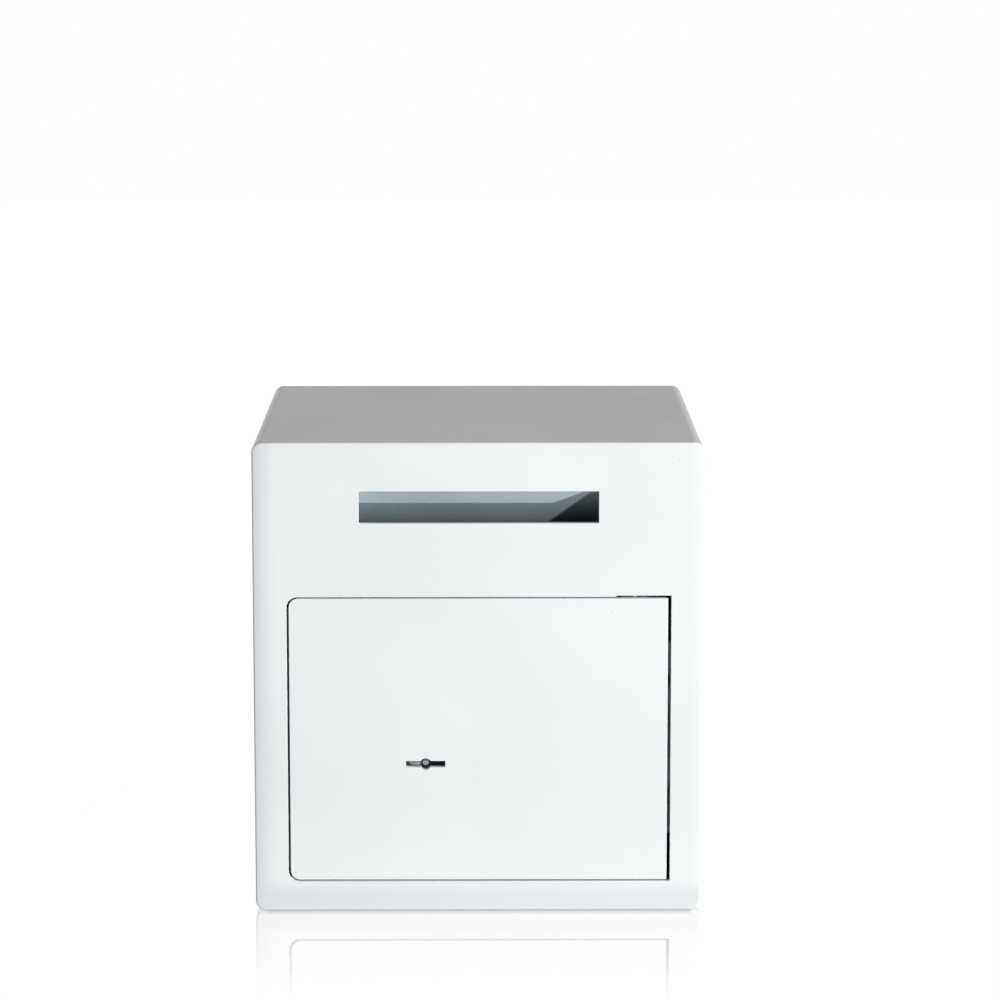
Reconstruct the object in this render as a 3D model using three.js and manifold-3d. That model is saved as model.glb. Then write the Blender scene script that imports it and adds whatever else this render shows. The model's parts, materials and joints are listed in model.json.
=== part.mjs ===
// Small deposit safe: a welded steel cabinet with a fixed deposit slot above a flush door.
// The door hangs on two concealed pins at its right side. A double-bitted key turns a rotor
// in the lock, and the rotor draws two live bolts behind the left edge of the doorway.
// Millimetres, +Z up, front face towards -Y, origin at the centre of the base.
import * as THREE from 'three';
import { mergeVertices } from 'three/addons/utils/BufferGeometryUtils.js';
import Module from 'manifold-3d';

// Cabinet
const cabinetWidth = 350;
const cabinetDepth = 345;
const cabinetHeight = 372;
const shellWall = 3;
const shellEdgeRadius = 8;
const frontPlateThickness = 5;
const frontEdgeRadius = 1.5;
const rearPlateThickness = 3;
const anchorBore = 12;
const anchorSpan = 180;
const floorAnchorSetback = 150;
const rearAnchorDrop = 130;

// Deposit slot and the chute behind it
const slotWidth = 186.5;
const slotHeight = 25;
const slotTopDrop = 38.4;
const slotOffset = 0.8;
const chuteSheet = 2;
const chuteSlope = THREE.MathUtils.degToRad(40);
const chuteSideMargin = 6;
const deflectorFlange = 16;
const deflectorLength = 99;
const chuteLip = 4;
const chuteFloorFlange = 14;
const chuteFloorLength = 45;
const cheekProud = 4;
const toothCount = 24;
const toothDepth = 6;

// Doorway in the front plate
const doorwayLeftMargin = 26;
const doorwayRightMargin = 24.5;
const doorwayBottomMargin = 23.5;
const doorwayTopDrop = 121.5;
const doorwayCornerRadius = 8.5;
const hingeReliefLength = 43;
const hingeReliefHeight = 1;

// Door plate
const doorThickness = 6;
const doorGapLeft = 1.6;
const doorGapRight = 2.3;
const doorGapTop = 1;
const doorGapBottom = 1.2;
const doorEdgeRadius = 0.6;

// Door stops
const stopOverlap = 5.5;
const stopSeat = 12;
const stopEndMargin = 6;
const stopHingeMargin = 17;

// Concealed hinge
const hingeInset = 26;
const hingeSetback = 10;
const hingePinDiameter = 6;
const hingePinSeat = 20;
const hingeBlockWidth = 20;
const hingeBlockDepth = 12;
const hingeBlockHeight = 24;
const hingeCornerRadius = 3;
const bracketWidth = 26;
const bracketReach = 14;
const bracketLeg = 6;
const bracketFlange = 16;
const bracketFlangeThickness = 3.2;
const bracketRecess = 2;
const dogReach = 12;
const dogInset = 12.5;
const dogThickness = 5;
const dogEndMargin = 36;

// Live bolts and the bar that carries them
const boltDiameter = 16;
const boltThrow = 20;
const boltTipRecess = 5.9;
const boltEndInset = 42;
const boltBodyLength = 36.5;
const boltTipChamfer = 1.5;
const boltPlay = 1;
const boltBarThickness = 5;
const boltBarEnd = 12;
const boltGuideThickness = 3;
const boltGuideFlange = 18;
const boltGuideSetback = 8.5;
const boltGuideEnd = 14;
const boltGuideRise = 24.5;

// Cover over the boltwork
const coverSheet = 1.5;
const coverDepth = 34.5;
const coverLeftInset = 8.4;
const coverEndInset = 12;
const coverHingeGap = 16;
const coverCornerRadius = 4;
const pillarDiameter = 8;
const pillarInset = 14;

// Keyhole and lock
const keyholeInset = 106.3;
const keyholeRise = 93;
const keyArmLength = 15.4;
const keyArmHeight = 4.9;
const keyShankDiameter = 9.1;
const keywayClearance = 0.4;
const hardPlateThickness = 3;
const hardPlateMargin = 3;
const lockCaseWidth = 94;
const lockCaseHeight = 70;
const lockCaseWall = 2;
const lockCornerRadius = 3;
const leverCount = 5;
const leverThickness = 1.6;
const leverGap = 0.4;
const leverLeft = 30;
const leverRight = 37;
const leverFoot = 26;
const leverBellyRadius = 13.5;
const leverWebTop = 6.5;
const leverCornerRadius = 4;
const leverPostDiameter = 4;
const leverPostInset = 5.5;
const leverLift = 3;
const leverPocketWidth = 7;
const leverPocketHeight = 9;
const springThickness = 0.6;
const springWidth = 1.2;
const springSpine = 8;
const rotorDiameter = 38;
const rotorThickness = 3;
const drivePinDiameter = 5;
const yokePlay = 2.5;
const keyPostDiameter = 5;
const keyPostRecess = 1;
const lockBoltThickness = 4;
const lockBoltBodyHalf = 16;
const lockBoltRight = 18;
const lockBoltLeft = 30;
const lockBoltHeadHalf = 11;
const lockBoltHeadThickness = 8;
const lockBoltHeadStart = 12;
const stumpDiameter = 5;
const stumpHeight = 24.5;
const stumpEar = 5;
const lockBackClearance = 0.5;

// Screws
const coverScrewHead = 9;
const coverScrewHeadHeight = 2.6;
const coverScrewShank = 4;
const coverScrewGrip = 8;
const lockScrewHead = 7;
const lockScrewHeadHeight = 2.2;
const lockScrewShank = 3.6;
const lockScrewInset = 6;
const boltScrewHead = 10;
const boltScrewHeadHeight = 3;
const boltScrewShank = 5;
const boltScrewGrip = 12;
const screwRecess = 1;

// Shared clearances
const runningClearance = 0.3;
const cutOverrun = 2;

// Share of a screw head's radius that its flat top keeps
const crownShare = 0.7;

// Steps round a full circle
const fineSteps = 40;
const mediumSteps = 28;
const coarseSteps = 16;
const screwSteps = 12;
const cornerSteps = 6;
const fullTurn = 2 * Math.PI;
const quarterTurn = Math.PI / 2;

const wasm = await Module();
wasm.setup();

const finishes = {
  paint: { color: 0xeef0f0, roughness: 0.55, metalness: 0 },
  inside: { color: 0x9aa3a8, roughness: 0.6, metalness: 0.1 },
  steel: { color: 0x9b9ea1, roughness: 0.4, metalness: 1 },
  zinc: { color: 0xb9bcc0, roughness: 0.32, metalness: 1 },
  hard: { color: 0x55585c, roughness: 0.5, metalness: 1 },
  brass: { color: 0xb08d4c, roughness: 0.35, metalness: 1 },
};

// Places that several pieces share, worked out from the sizes above
const halfWidth = cabinetWidth / 2;
const halfDepth = cabinetDepth / 2;
const frontFace = -halfDepth;
const frontPlateBack = frontFace + frontPlateThickness;
const rearPlateFront = halfDepth - rearPlateThickness;
const slotTop = cabinetHeight - slotTopDrop;
const slotBottom = slotTop - slotHeight;
const doorwayLeft = -halfWidth + doorwayLeftMargin;
const doorwayRight = halfWidth - doorwayRightMargin;
const doorwayBottom = doorwayBottomMargin;
const doorwayTop = cabinetHeight - doorwayTopDrop;
const doorLeft = doorwayLeft + doorGapLeft;
const doorRight = doorwayRight - doorGapRight;
const doorBottom = doorwayBottom + doorGapBottom;
const doorTop = doorwayTop - doorGapTop;
const doorBack = frontFace + doorThickness;
const hingeX = doorRight - hingeInset;
const hingeY = frontFace + hingeSetback;
const keyX = doorLeft + keyholeInset;
const keyZ = doorBottom + keyholeRise;
const pinHole = hingePinDiameter + 2 * runningClearance;

// Lock stack, front to back
const hardPlateBack = doorBack + hardPlateThickness;
const leverPitch = leverThickness + leverGap;
const leverStart = hardPlateBack + lockCaseWall + runningClearance;
const leverEnd = leverStart + leverCount * leverPitch - leverGap;
const rotorFront = leverEnd + runningClearance;
const rotorBack = rotorFront + rotorThickness;
const lockBoltFront = rotorBack + runningClearance;
const lockBoltBack = lockBoltFront + lockBoltThickness;
const lockCoverFront = lockBoltBack + lockBackClearance;
const lockCoverBack = lockCoverFront + lockCaseWall;
const lockHalfWidth = lockCaseWidth / 2;
const lockHalfHeight = lockCaseHeight / 2;
const driveRadius = boltThrow / 2;

// Boltwork places with the bolts drawn back
const boltY = lockBoltBack - boltDiameter / 2;
const boltTip = doorLeft + boltTipRecess;
const boltRoot = boltTip + boltBodyLength;
const boltBarBack = boltRoot + boltBarThickness;
const coverLeft = doorLeft + coverLeftInset;
const coverRight = hingeX - coverHingeGap;
const coverBottom = doorBottom + coverEndInset;
const coverTop = doorTop - coverEndInset;
const coverBack = doorBack + coverDepth;
const coverInside = coverBack - coverSheet;
const boltHeights = [coverBottom + boltEndInset, coverTop - boltEndInset];

// A closed geometry as a solid that can be joined and cut
function toSolid(geometry) {
  const bare = geometry.clone();
  bare.deleteAttribute('normal');
  bare.deleteAttribute('uv');
  const merged = mergeVertices(bare);
  const corners = merged.index.array;
  const triangles = [];
  for (let first = 0; first < corners.length; first += 3) {
    const [a, b, c] = corners.slice(first, first + 3);
    if (a !== b && b !== c && c !== a) triangles.push(a, b, c);
  }
  return new wasm.Manifold(new wasm.Mesh({
    numProp: 3,
    vertProperties: new Float32Array(merged.attributes.position.array),
    triVerts: new Uint32Array(triangles),
  }));
}

// A joined or cut solid as a geometry again
function toGeometry(solid) {
  const mesh = solid.getMesh();
  const geometry = new THREE.BufferGeometry();
  geometry.setAttribute('position', new THREE.BufferAttribute(new Float32Array(mesh.vertProperties), 3));
  geometry.setIndex(new THREE.BufferAttribute(new Uint32Array(mesh.triVerts), 1));
  geometry.computeVertexNormals();
  return geometry;
}

function cut(geometry, cutters) {
  let solid = toSolid(geometry);
  for (const cutter of cutters) solid = solid.subtract(toSolid(cutter));
  return toGeometry(solid);
}

function join(geometries) {
  let solid = toSolid(geometries[0]);
  for (const geometry of geometries.slice(1)) solid = solid.add(toSolid(geometry));
  return toGeometry(solid);
}

// Outline of even thickness, with square edges
function extruded(shape, thickness, steps) {
  return new THREE.ExtrudeGeometry(shape, {
    depth: thickness,
    bevelEnabled: false,
    curveSegments: steps,
  });
}

// Outline drawn in X and Z, given thickness along Y from front to back
function frontPlate(shape, front, back, steps = cornerSteps) {
  const geometry = extruded(shape, back - front, steps);
  geometry.rotateX(quarterTurn);
  geometry.translate(0, back, 0);
  return geometry;
}

// Outline drawn in Y and Z, run along X from left to right
function sideProfile(shape, left, right, steps = cornerSteps) {
  const geometry = extruded(shape, right - left, steps);
  geometry.rotateX(quarterTurn);
  geometry.rotateZ(quarterTurn);
  geometry.translate(left, 0, 0);
  return geometry;
}

// Outline drawn in X and Y, run up along Z from bottom to top
function planProfile(shape, bottom, top, steps = cornerSteps) {
  const geometry = extruded(shape, top - bottom, steps);
  geometry.translate(0, 0, bottom);
  return geometry;
}

function polygon(points) {
  return new THREE.Shape(points.map(([across, along]) => new THREE.Vector2(across, along)));
}

// Rectangle whose four corners have their own radii: bottom left, bottom right, top right, top left
function roundedRectangle(left, bottom, right, top, radii, Outline = THREE.Shape) {
  const [bottomLeft, bottomRight, topRight, topLeft] = radii;
  const outline = new Outline();
  outline.moveTo(left + bottomLeft, bottom);
  const corner = (x, z, radius, start) => {
    if (radius > 0) outline.absarc(x, z, radius, start, start + quarterTurn, false);
  };
  outline.lineTo(right - bottomRight, bottom);
  corner(right - bottomRight, bottom + bottomRight, bottomRight, -quarterTurn);
  outline.lineTo(right, top - topRight);
  corner(right - topRight, top - topRight, topRight, 0);
  outline.lineTo(left + topLeft, top);
  corner(left + topLeft, top - topLeft, topLeft, quarterTurn);
  outline.lineTo(left, bottom + bottomLeft);
  corner(left + bottomLeft, bottom + bottomLeft, bottomLeft, Math.PI);
  return outline;
}

function evenRadii(radius) {
  return [radius, radius, radius, radius];
}

function circlePoints(across, along, diameter, steps) {
  return Array.from({ length: steps }, (_, step) => new THREE.Vector2(
    across + diameter / 2 * Math.cos(fullTurn * step / steps),
    along + diameter / 2 * Math.sin(fullTurn * step / steps),
  ));
}

function roundHole(across, along, diameter, steps = coarseSteps) {
  return new THREE.Path(circlePoints(across, along, diameter, steps));
}

// Round bar between two places on an axis through the given centre
function rod(axis, centre, from, to, diameter, steps = mediumSteps) {
  const geometry = new THREE.CylinderGeometry(diameter / 2, diameter / 2, to - from, steps);
  const middle = (from + to) / 2;
  if (axis === 'x') {
    geometry.rotateZ(quarterTurn);
    geometry.translate(middle, centre[0], centre[1]);
  } else if (axis === 'y') {
    geometry.translate(centre[0], middle, centre[1]);
  } else {
    geometry.rotateX(quarterTurn);
    geometry.translate(centre[0], centre[1], middle);
  }
  return geometry;
}

// Keyhole outline: a round shank hole with a straight arm to each side
function keyholeOutline(clearance, Outline) {
  const arm = keyArmLength + clearance;
  const half = keyArmHeight / 2 + clearance;
  const radius = keyShankDiameter / 2 + clearance;
  const turn = Math.asin(half / radius);
  const outline = new Outline();
  outline.moveTo(keyX + arm, keyZ - half);
  outline.lineTo(keyX + arm, keyZ + half);
  outline.absarc(keyX, keyZ, radius, turn, Math.PI - turn, false);
  outline.lineTo(keyX - arm, keyZ + half);
  outline.lineTo(keyX - arm, keyZ - half);
  outline.absarc(keyX, keyZ, radius, Math.PI + turn, fullTurn - turn, false);
  return outline;
}

function addPiece(group, name, geometry, finish) {
  const mesh = new THREE.Mesh(geometry, new THREE.MeshStandardMaterial(finishes[finish]));
  mesh.name = name;
  group.add(mesh);
  return mesh;
}

// Cabinet: one wrapped sheet, closed by a front plate and a rear plate
function makeBodyShell() {
  const outline = roundedRectangle(-halfWidth, 0, halfWidth, cabinetHeight, evenRadii(shellEdgeRadius));
  const inner = Math.max(shellEdgeRadius - shellWall, shellEdgeRadius / 2);
  outline.holes.push(roundedRectangle(
    -halfWidth + shellWall, shellWall, halfWidth - shellWall, cabinetHeight - shellWall,
    evenRadii(inner), THREE.Path,
  ));
  const shell = frontPlate(outline, frontPlateBack, halfDepth);
  const anchorY = halfDepth - floorAnchorSetback;
  const bores = [-1, 1].map((side) => (
    rod('z', [side * anchorSpan / 2, anchorY], -cutOverrun, shellWall + cutOverrun, anchorBore)
  ));
  return cut(shell, bores);
}

function makeRearPlate() {
  const inner = Math.max(shellEdgeRadius - shellWall, shellEdgeRadius / 2);
  const outline = roundedRectangle(
    -halfWidth + shellWall, shellWall, halfWidth - shellWall, cabinetHeight - shellWall,
    evenRadii(inner),
  );
  const anchorZ = cabinetHeight - rearAnchorDrop;
  for (const side of [-1, 1]) outline.holes.push(roundHole(side * anchorSpan / 2, anchorZ, anchorBore));
  return frontPlate(outline, rearPlateFront, halfDepth);
}

// The front plate's outer edge is rounded, its cut edges are square
function makeFrontPlate() {
  const radius = shellEdgeRadius - frontEdgeRadius;
  const outline = roundedRectangle(
    -halfWidth + frontEdgeRadius, frontEdgeRadius,
    halfWidth - frontEdgeRadius, cabinetHeight - frontEdgeRadius, evenRadii(radius),
  );
  const blank = new THREE.ExtrudeGeometry(outline, {
    depth: frontPlateThickness,
    bevelEnabled: true,
    bevelThickness: frontEdgeRadius,
    bevelSize: frontEdgeRadius,
    bevelSegments: 3,
    curveSegments: cornerSteps,
  });
  blank.rotateX(quarterTurn);
  blank.translate(0, frontPlateBack + frontEdgeRadius, 0);
  const offcut = frontPlate(
    roundedRectangle(
      -halfWidth - cutOverrun, -cutOverrun,
      halfWidth + cutOverrun, cabinetHeight + cutOverrun, evenRadii(0),
    ),
    frontPlateBack, frontPlateBack + frontPlateThickness + cutOverrun,
  );
  const slot = frontPlate(
    roundedRectangle(
      slotOffset - slotWidth / 2, slotBottom, slotOffset + slotWidth / 2, slotTop, evenRadii(0),
    ),
    frontFace - cutOverrun, frontPlateBack + cutOverrun,
  );
  const doorway = frontPlate(
    roundedRectangle(
      doorwayLeft, doorwayBottom, doorwayRight, doorwayTop,
      [doorwayCornerRadius, 0, 0, doorwayCornerRadius],
    ),
    frontFace - cutOverrun, frontPlateBack + cutOverrun,
  );
  const relief = frontPlate(
    roundedRectangle(
      doorwayRight - hingeReliefLength, doorwayTop - cutOverrun,
      doorwayRight, doorwayTop + hingeReliefHeight, evenRadii(0),
    ),
    frontFace - cutOverrun, frontPlateBack + cutOverrun,
  );
  return cut(blank, [offcut, slot, doorway, relief]);
}

// Chute behind the slot: a bent deflector above, a bent floor below and a cheek at each end
const deflectorStart = [frontPlateBack, slotTop];
const floorBend = [frontPlateBack + chuteLip, slotBottom];
const slopeAlong = [Math.cos(chuteSlope), -Math.sin(chuteSlope)];
const slopeAcross = [Math.sin(chuteSlope), Math.cos(chuteSlope)];
const chuteLeft = slotOffset - slotWidth / 2 - chuteSideMargin;
const chuteRight = slotOffset + slotWidth / 2 + chuteSideMargin;

function stepFrom([y, z], along, across) {
  return [
    y + along * slopeAlong[0] + across * slopeAcross[0],
    z + along * slopeAlong[1] + across * slopeAcross[1],
  ];
}

function makeDeflector() {
  const [startY, startZ] = deflectorStart;
  const innerBend = startZ + chuteSheet / Math.cos(chuteSlope) - chuteSheet * Math.tan(chuteSlope);
  return sideProfile(polygon([
    [startY, startZ + deflectorFlange],
    [startY, startZ],
    stepFrom(deflectorStart, deflectorLength, 0),
    stepFrom(deflectorStart, deflectorLength, chuteSheet),
    [startY + chuteSheet, innerBend],
    [startY + chuteSheet, startZ + deflectorFlange],
  ]), chuteLeft, chuteRight);
}

// The floor's trailing edge is cut to saw teeth, so that nothing is drawn back up the slot
function makeChuteFloor() {
  const [bendY, bendZ] = floorBend;
  const underBend = bendY - chuteSheet * (1 / Math.cos(chuteSlope) - 1) / Math.tan(chuteSlope);
  const sheet = sideProfile(polygon([
    [frontPlateBack, bendZ - chuteFloorFlange],
    [frontPlateBack + chuteSheet, bendZ - chuteFloorFlange],
    [frontPlateBack + chuteSheet, bendZ - chuteSheet],
    [underBend, bendZ - chuteSheet],
    stepFrom(floorBend, chuteFloorLength, -chuteSheet),
    stepFrom(floorBend, chuteFloorLength, 0),
    floorBend,
    [frontPlateBack, bendZ],
  ]), chuteLeft, chuteRight);
  const pitch = (chuteRight - chuteLeft) / toothCount;
  const points = [[chuteLeft - cutOverrun, cutOverrun], [chuteLeft - cutOverrun, 0]];
  for (let tooth = 0; tooth < toothCount; tooth += 1) {
    points.push([chuteLeft + tooth * pitch, 0]);
    points.push([chuteLeft + (tooth + 1 / 2) * pitch, -toothDepth]);
  }
  points.push([chuteRight, 0], [chuteRight + cutOverrun, 0], [chuteRight + cutOverrun, cutOverrun]);
  const saw = planProfile(polygon(points.reverse()), -chuteSheet - cutOverrun, cutOverrun);
  saw.rotateX(-chuteSlope);
  const [edgeY, edgeZ] = stepFrom(floorBend, chuteFloorLength, 0);
  saw.translate(0, edgeY, edgeZ);
  return cut(sheet, [saw]);
}

function makeCheek(left, right) {
  const [floorEndY, floorEndZ] = stepFrom(floorBend, chuteFloorLength, -chuteSheet);
  return sideProfile(polygon([
    [frontPlateBack, slotBottom - chuteFloorFlange],
    [floorEndY, floorEndZ - cheekProud],
    stepFrom(deflectorStart, deflectorLength, 0),
    stepFrom(deflectorStart, deflectorLength, chuteSheet + cheekProud),
    [frontPlateBack + chuteSheet + cheekProud, slotTop + deflectorFlange],
    [frontPlateBack, slotTop + deflectorFlange],
  ]), left, right);
}

// Door stops: stepped strips behind the front plate, just clear of the closed door
const stopBack = boltY - boltDiameter / 2 - boltPlay;
const stopFace = doorBack + runningClearance;

function makeLeftStop() {
  return planProfile(polygon([
    [doorwayLeft - stopSeat, frontPlateBack],
    [doorwayLeft, frontPlateBack],
    [doorwayLeft, stopFace],
    [doorwayLeft + stopOverlap, stopFace],
    [doorwayLeft + stopOverlap, stopBack],
    [doorwayLeft - stopSeat, stopBack],
  ]), doorwayBottom + doorwayCornerRadius, doorwayTop - doorwayCornerRadius);
}

function makeLevelStop(edge, inward) {
  const points = [
    [frontPlateBack, edge - inward * stopSeat],
    [stopBack, edge - inward * stopSeat],
    [stopBack, edge + inward * stopOverlap],
    [stopFace, edge + inward * stopOverlap],
    [stopFace, edge],
    [frontPlateBack, edge],
  ];
  const left = doorwayLeft + stopOverlap + stopEndMargin;
  const right = hingeX - hingeBlockWidth / 2 - stopHingeMargin;
  return sideProfile(polygon(inward > 0 ? points : points.reverse()), left, right);
}

// Hinge: a bracket behind the front plate above and below the doorway, a block on the door at each end
const upperBracketFace = doorwayTop + hingeReliefHeight + bracketRecess;
const lowerBracketFace = doorwayBottom - bracketRecess;
const washerDiameter = 2 * (hingeSetback - frontPlateThickness - runningClearance);

function makeHingeBracket(face, outward) {
  const left = hingeX - bracketWidth / 2;
  const right = hingeX + bracketWidth / 2;
  const points = [
    [frontPlateBack, face],
    [frontPlateBack + bracketReach, face],
    [frontPlateBack + bracketReach, face + outward * bracketLeg],
    [frontPlateBack + bracketFlangeThickness, face + outward * bracketLeg],
    [frontPlateBack + bracketFlangeThickness, face + outward * bracketFlange],
    [frontPlateBack, face + outward * bracketFlange],
  ];
  const angle = sideProfile(polygon(outward > 0 ? points : points.reverse()), left, right);
  const near = Math.min(face, face + outward * bracketLeg);
  const far = Math.max(face, face + outward * bracketLeg);
  return cut(angle, [rod('z', [hingeX, hingeY], near - cutOverrun, far + runningClearance, pinHole)]);
}

function makeWasher() {
  const ring = new THREE.Shape(circlePoints(hingeX, hingeY, washerDiameter, mediumSteps));
  ring.holes.push(roundHole(hingeX, hingeY, pinHole, mediumSteps));
  return planProfile(ring, lowerBracketFace, doorBottom - runningClearance);
}

function makeHingeBlock(bottom) {
  const outline = roundedRectangle(
    hingeX - hingeBlockWidth / 2, doorBack, hingeX + hingeBlockWidth / 2, doorBack + hingeBlockDepth,
    [0, 0, hingeCornerRadius, hingeCornerRadius],
  );
  outline.holes.push(roundHole(hingeX, hingeY, pinHole, mediumSteps));
  return planProfile(outline, bottom, bottom + hingeBlockHeight);
}

function makeHingePin(inner, outer) {
  return rod('z', [hingeX, hingeY], Math.min(inner, outer), Math.max(inner, outer), hingePinDiameter);
}

// Fixed dog on the hinge side: it stands behind the front plate when the door is shut
function makeHingeDog() {
  const left = hingeX + dogInset;
  const right = doorwayRight + dogReach;
  const outline = polygon([
    [left, doorBack],
    [right, doorBack],
    [right, doorBack + dogThickness / 2],
    [right - dogThickness / 2, doorBack + dogThickness],
    [left, doorBack + dogThickness],
  ]);
  return planProfile(outline, doorBottom + dogEndMargin, doorTop - dogEndMargin);
}

// Door plate: rounded corners at the bolt side, square corners at the hinge side, softened edges
function makeDoorPlate() {
  const corner = Math.max(doorwayCornerRadius - doorGapLeft, doorwayCornerRadius / 2);
  const inset = doorEdgeRadius;
  const outline = roundedRectangle(
    doorLeft + inset, doorBottom + inset, doorRight - inset, doorTop - inset,
    [corner - inset, 0, 0, corner - inset],
  );
  const blank = new THREE.ExtrudeGeometry(outline, {
    depth: doorThickness - 2 * inset,
    bevelEnabled: true,
    bevelThickness: inset,
    bevelSize: inset,
    bevelSegments: 1,
    curveSegments: cornerSteps,
  });
  blank.rotateX(quarterTurn);
  blank.translate(0, doorBack - inset, 0);
  const keyhole = frontPlate(
    keyholeOutline(0, THREE.Shape), frontFace - cutOverrun, doorBack + cutOverrun, mediumSteps / 2,
  );
  return cut(blank, [keyhole]);
}

// Places of the lock's four mounting screws
function lockScrewPlaces() {
  const across = lockHalfWidth - lockScrewInset;
  const along = lockHalfHeight - lockScrewInset;
  const corners = [[-1, -1], [1, -1], [1, 1], [-1, 1]];
  return corners.map(([right, up]) => [keyX + right * across, keyZ + up * along]);
}

function pushScrewHoles(outline) {
  const bore = lockScrewShank + 2 * runningClearance;
  for (const [x, z] of lockScrewPlaces()) outline.holes.push(roundHole(x, z, bore));
}

function makeHardPlate() {
  const across = lockHalfWidth + hardPlateMargin;
  const along = lockHalfHeight + hardPlateMargin;
  const outline = roundedRectangle(
    keyX - across, keyZ - along, keyX + across, keyZ + along, evenRadii(lockCornerRadius),
  );
  outline.holes.push(keyholeOutline(keywayClearance, THREE.Path));
  pushScrewHoles(outline);
  return frontPlate(outline, doorBack, hardPlateBack, cornerSteps / 2);
}

// Lock case: an open tray with the keyway in its floor and a notch for the bolt in its left wall
function makeLockCase() {
  const outline = roundedRectangle(
    keyX - lockHalfWidth, keyZ - lockHalfHeight, keyX + lockHalfWidth, keyZ + lockHalfHeight,
    evenRadii(lockCornerRadius),
  );
  const hollow = roundedRectangle(
    keyX - lockHalfWidth + lockCaseWall, keyZ - lockHalfHeight + lockCaseWall,
    keyX + lockHalfWidth - lockCaseWall, keyZ + lockHalfHeight - lockCaseWall,
    evenRadii(lockCornerRadius / 2),
  );
  const keyway = keyholeOutline(keywayClearance, THREE.Shape);
  const notch = roundedRectangle(
    keyX - lockHalfWidth - cutOverrun, keyZ - lockBoltHeadHalf - runningClearance,
    keyX - lockHalfWidth + lockCaseWall + cutOverrun, keyZ + lockBoltHeadHalf + runningClearance,
    evenRadii(0),
  );
  const bore = lockScrewShank + 2 * runningClearance;
  const wallFront = hardPlateBack + lockCaseWall;
  return cut(frontPlate(outline, hardPlateBack, lockCoverFront, cornerSteps / 2), [
    frontPlate(hollow, wallFront, lockCoverFront + cutOverrun, cornerSteps / 2),
    frontPlate(keyway, hardPlateBack - cutOverrun, wallFront + cutOverrun),
    frontPlate(notch, lockBoltBack - lockBoltHeadThickness - runningClearance, lockCoverFront + cutOverrun),
    ...lockScrewPlaces().map((place) => (
      rod('y', place, hardPlateBack - cutOverrun, wallFront + cutOverrun, bore, coarseSteps)
    )),
  ]);
}

function makeLockCover() {
  const outline = roundedRectangle(
    keyX - lockHalfWidth, keyZ - lockHalfHeight, keyX + lockHalfWidth, keyZ + lockHalfHeight,
    evenRadii(lockCornerRadius),
  );
  pushScrewHoles(outline);
  return frontPlate(outline, lockCoverFront, lockCoverBack, cornerSteps / 2);
}

// Lever: a sliding plate with a belly window for the key's bits and a gate for the bolt's stump
const leverTop = stumpHeight + leverWebTop;

function leverPostPlaces() {
  const height = keyZ - leverFoot / 2;
  return [[keyX - leverLeft + leverPostInset, height], [keyX + leverRight - leverPostInset, height]];
}

function makeLever(index) {
  const front = leverStart + index * leverPitch;
  const outline = roundedRectangle(
    keyX - leverLeft, keyZ - leverFoot, keyX + leverRight, keyZ + leverTop, evenRadii(leverCornerRadius),
  );
  const arm = keyArmLength + keywayClearance;
  const armHalf = keyArmHeight / 2 + keywayClearance;
  const turn = Math.asin(armHalf / leverBellyRadius);
  const belly = new THREE.Path();
  belly.moveTo(keyX + arm, keyZ - armHalf);
  belly.lineTo(keyX + arm, keyZ + armHalf);
  belly.absarc(keyX, keyZ, leverBellyRadius, turn, Math.PI - turn, false);
  belly.lineTo(keyX - arm, keyZ + armHalf);
  belly.lineTo(keyX - arm, keyZ - armHalf);
  belly.absarc(keyX, keyZ, leverBellyRadius, Math.PI + turn, fullTurn - turn, false);
  outline.holes.push(belly);

  const gateHalf = stumpDiameter / 2 + runningClearance;
  const pocketHalf = leverPocketHeight / 2;
  const reach = driveRadius + stumpDiameter / 2 + 2 * runningClearance;
  const neck = reach - leverPocketWidth;
  const gateZ = keyZ + stumpHeight;
  outline.holes.push(new THREE.Path([
    [-reach, -pocketHalf], [-neck, -pocketHalf], [-neck, -gateHalf], [neck, -gateHalf],
    [neck, -pocketHalf], [reach, -pocketHalf], [reach, pocketHalf], [neck, pocketHalf],
    [neck, gateHalf], [-neck, gateHalf], [-neck, pocketHalf], [-reach, pocketHalf],
  ].map(([across, along]) => new THREE.Vector2(keyX + across, gateZ + along))));

  const slotHalfWidth = leverPostDiameter / 2 + runningClearance;
  const slotHalfHeight = slotHalfWidth + leverLift;
  for (const [x, z] of leverPostPlaces()) {
    outline.holes.push(roundedRectangle(
      x - slotHalfWidth, z - slotHalfHeight, x + slotHalfWidth, z + slotHalfHeight,
      evenRadii(slotHalfWidth), THREE.Path,
    ));
  }
  return frontPlate(outline, front, front + leverThickness, cornerSteps / 2);
}

function makeLeverPost(place) {
  return rod('y', place, hardPlateBack + lockCaseWall, leverEnd, leverPostDiameter, coarseSteps);
}

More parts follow.
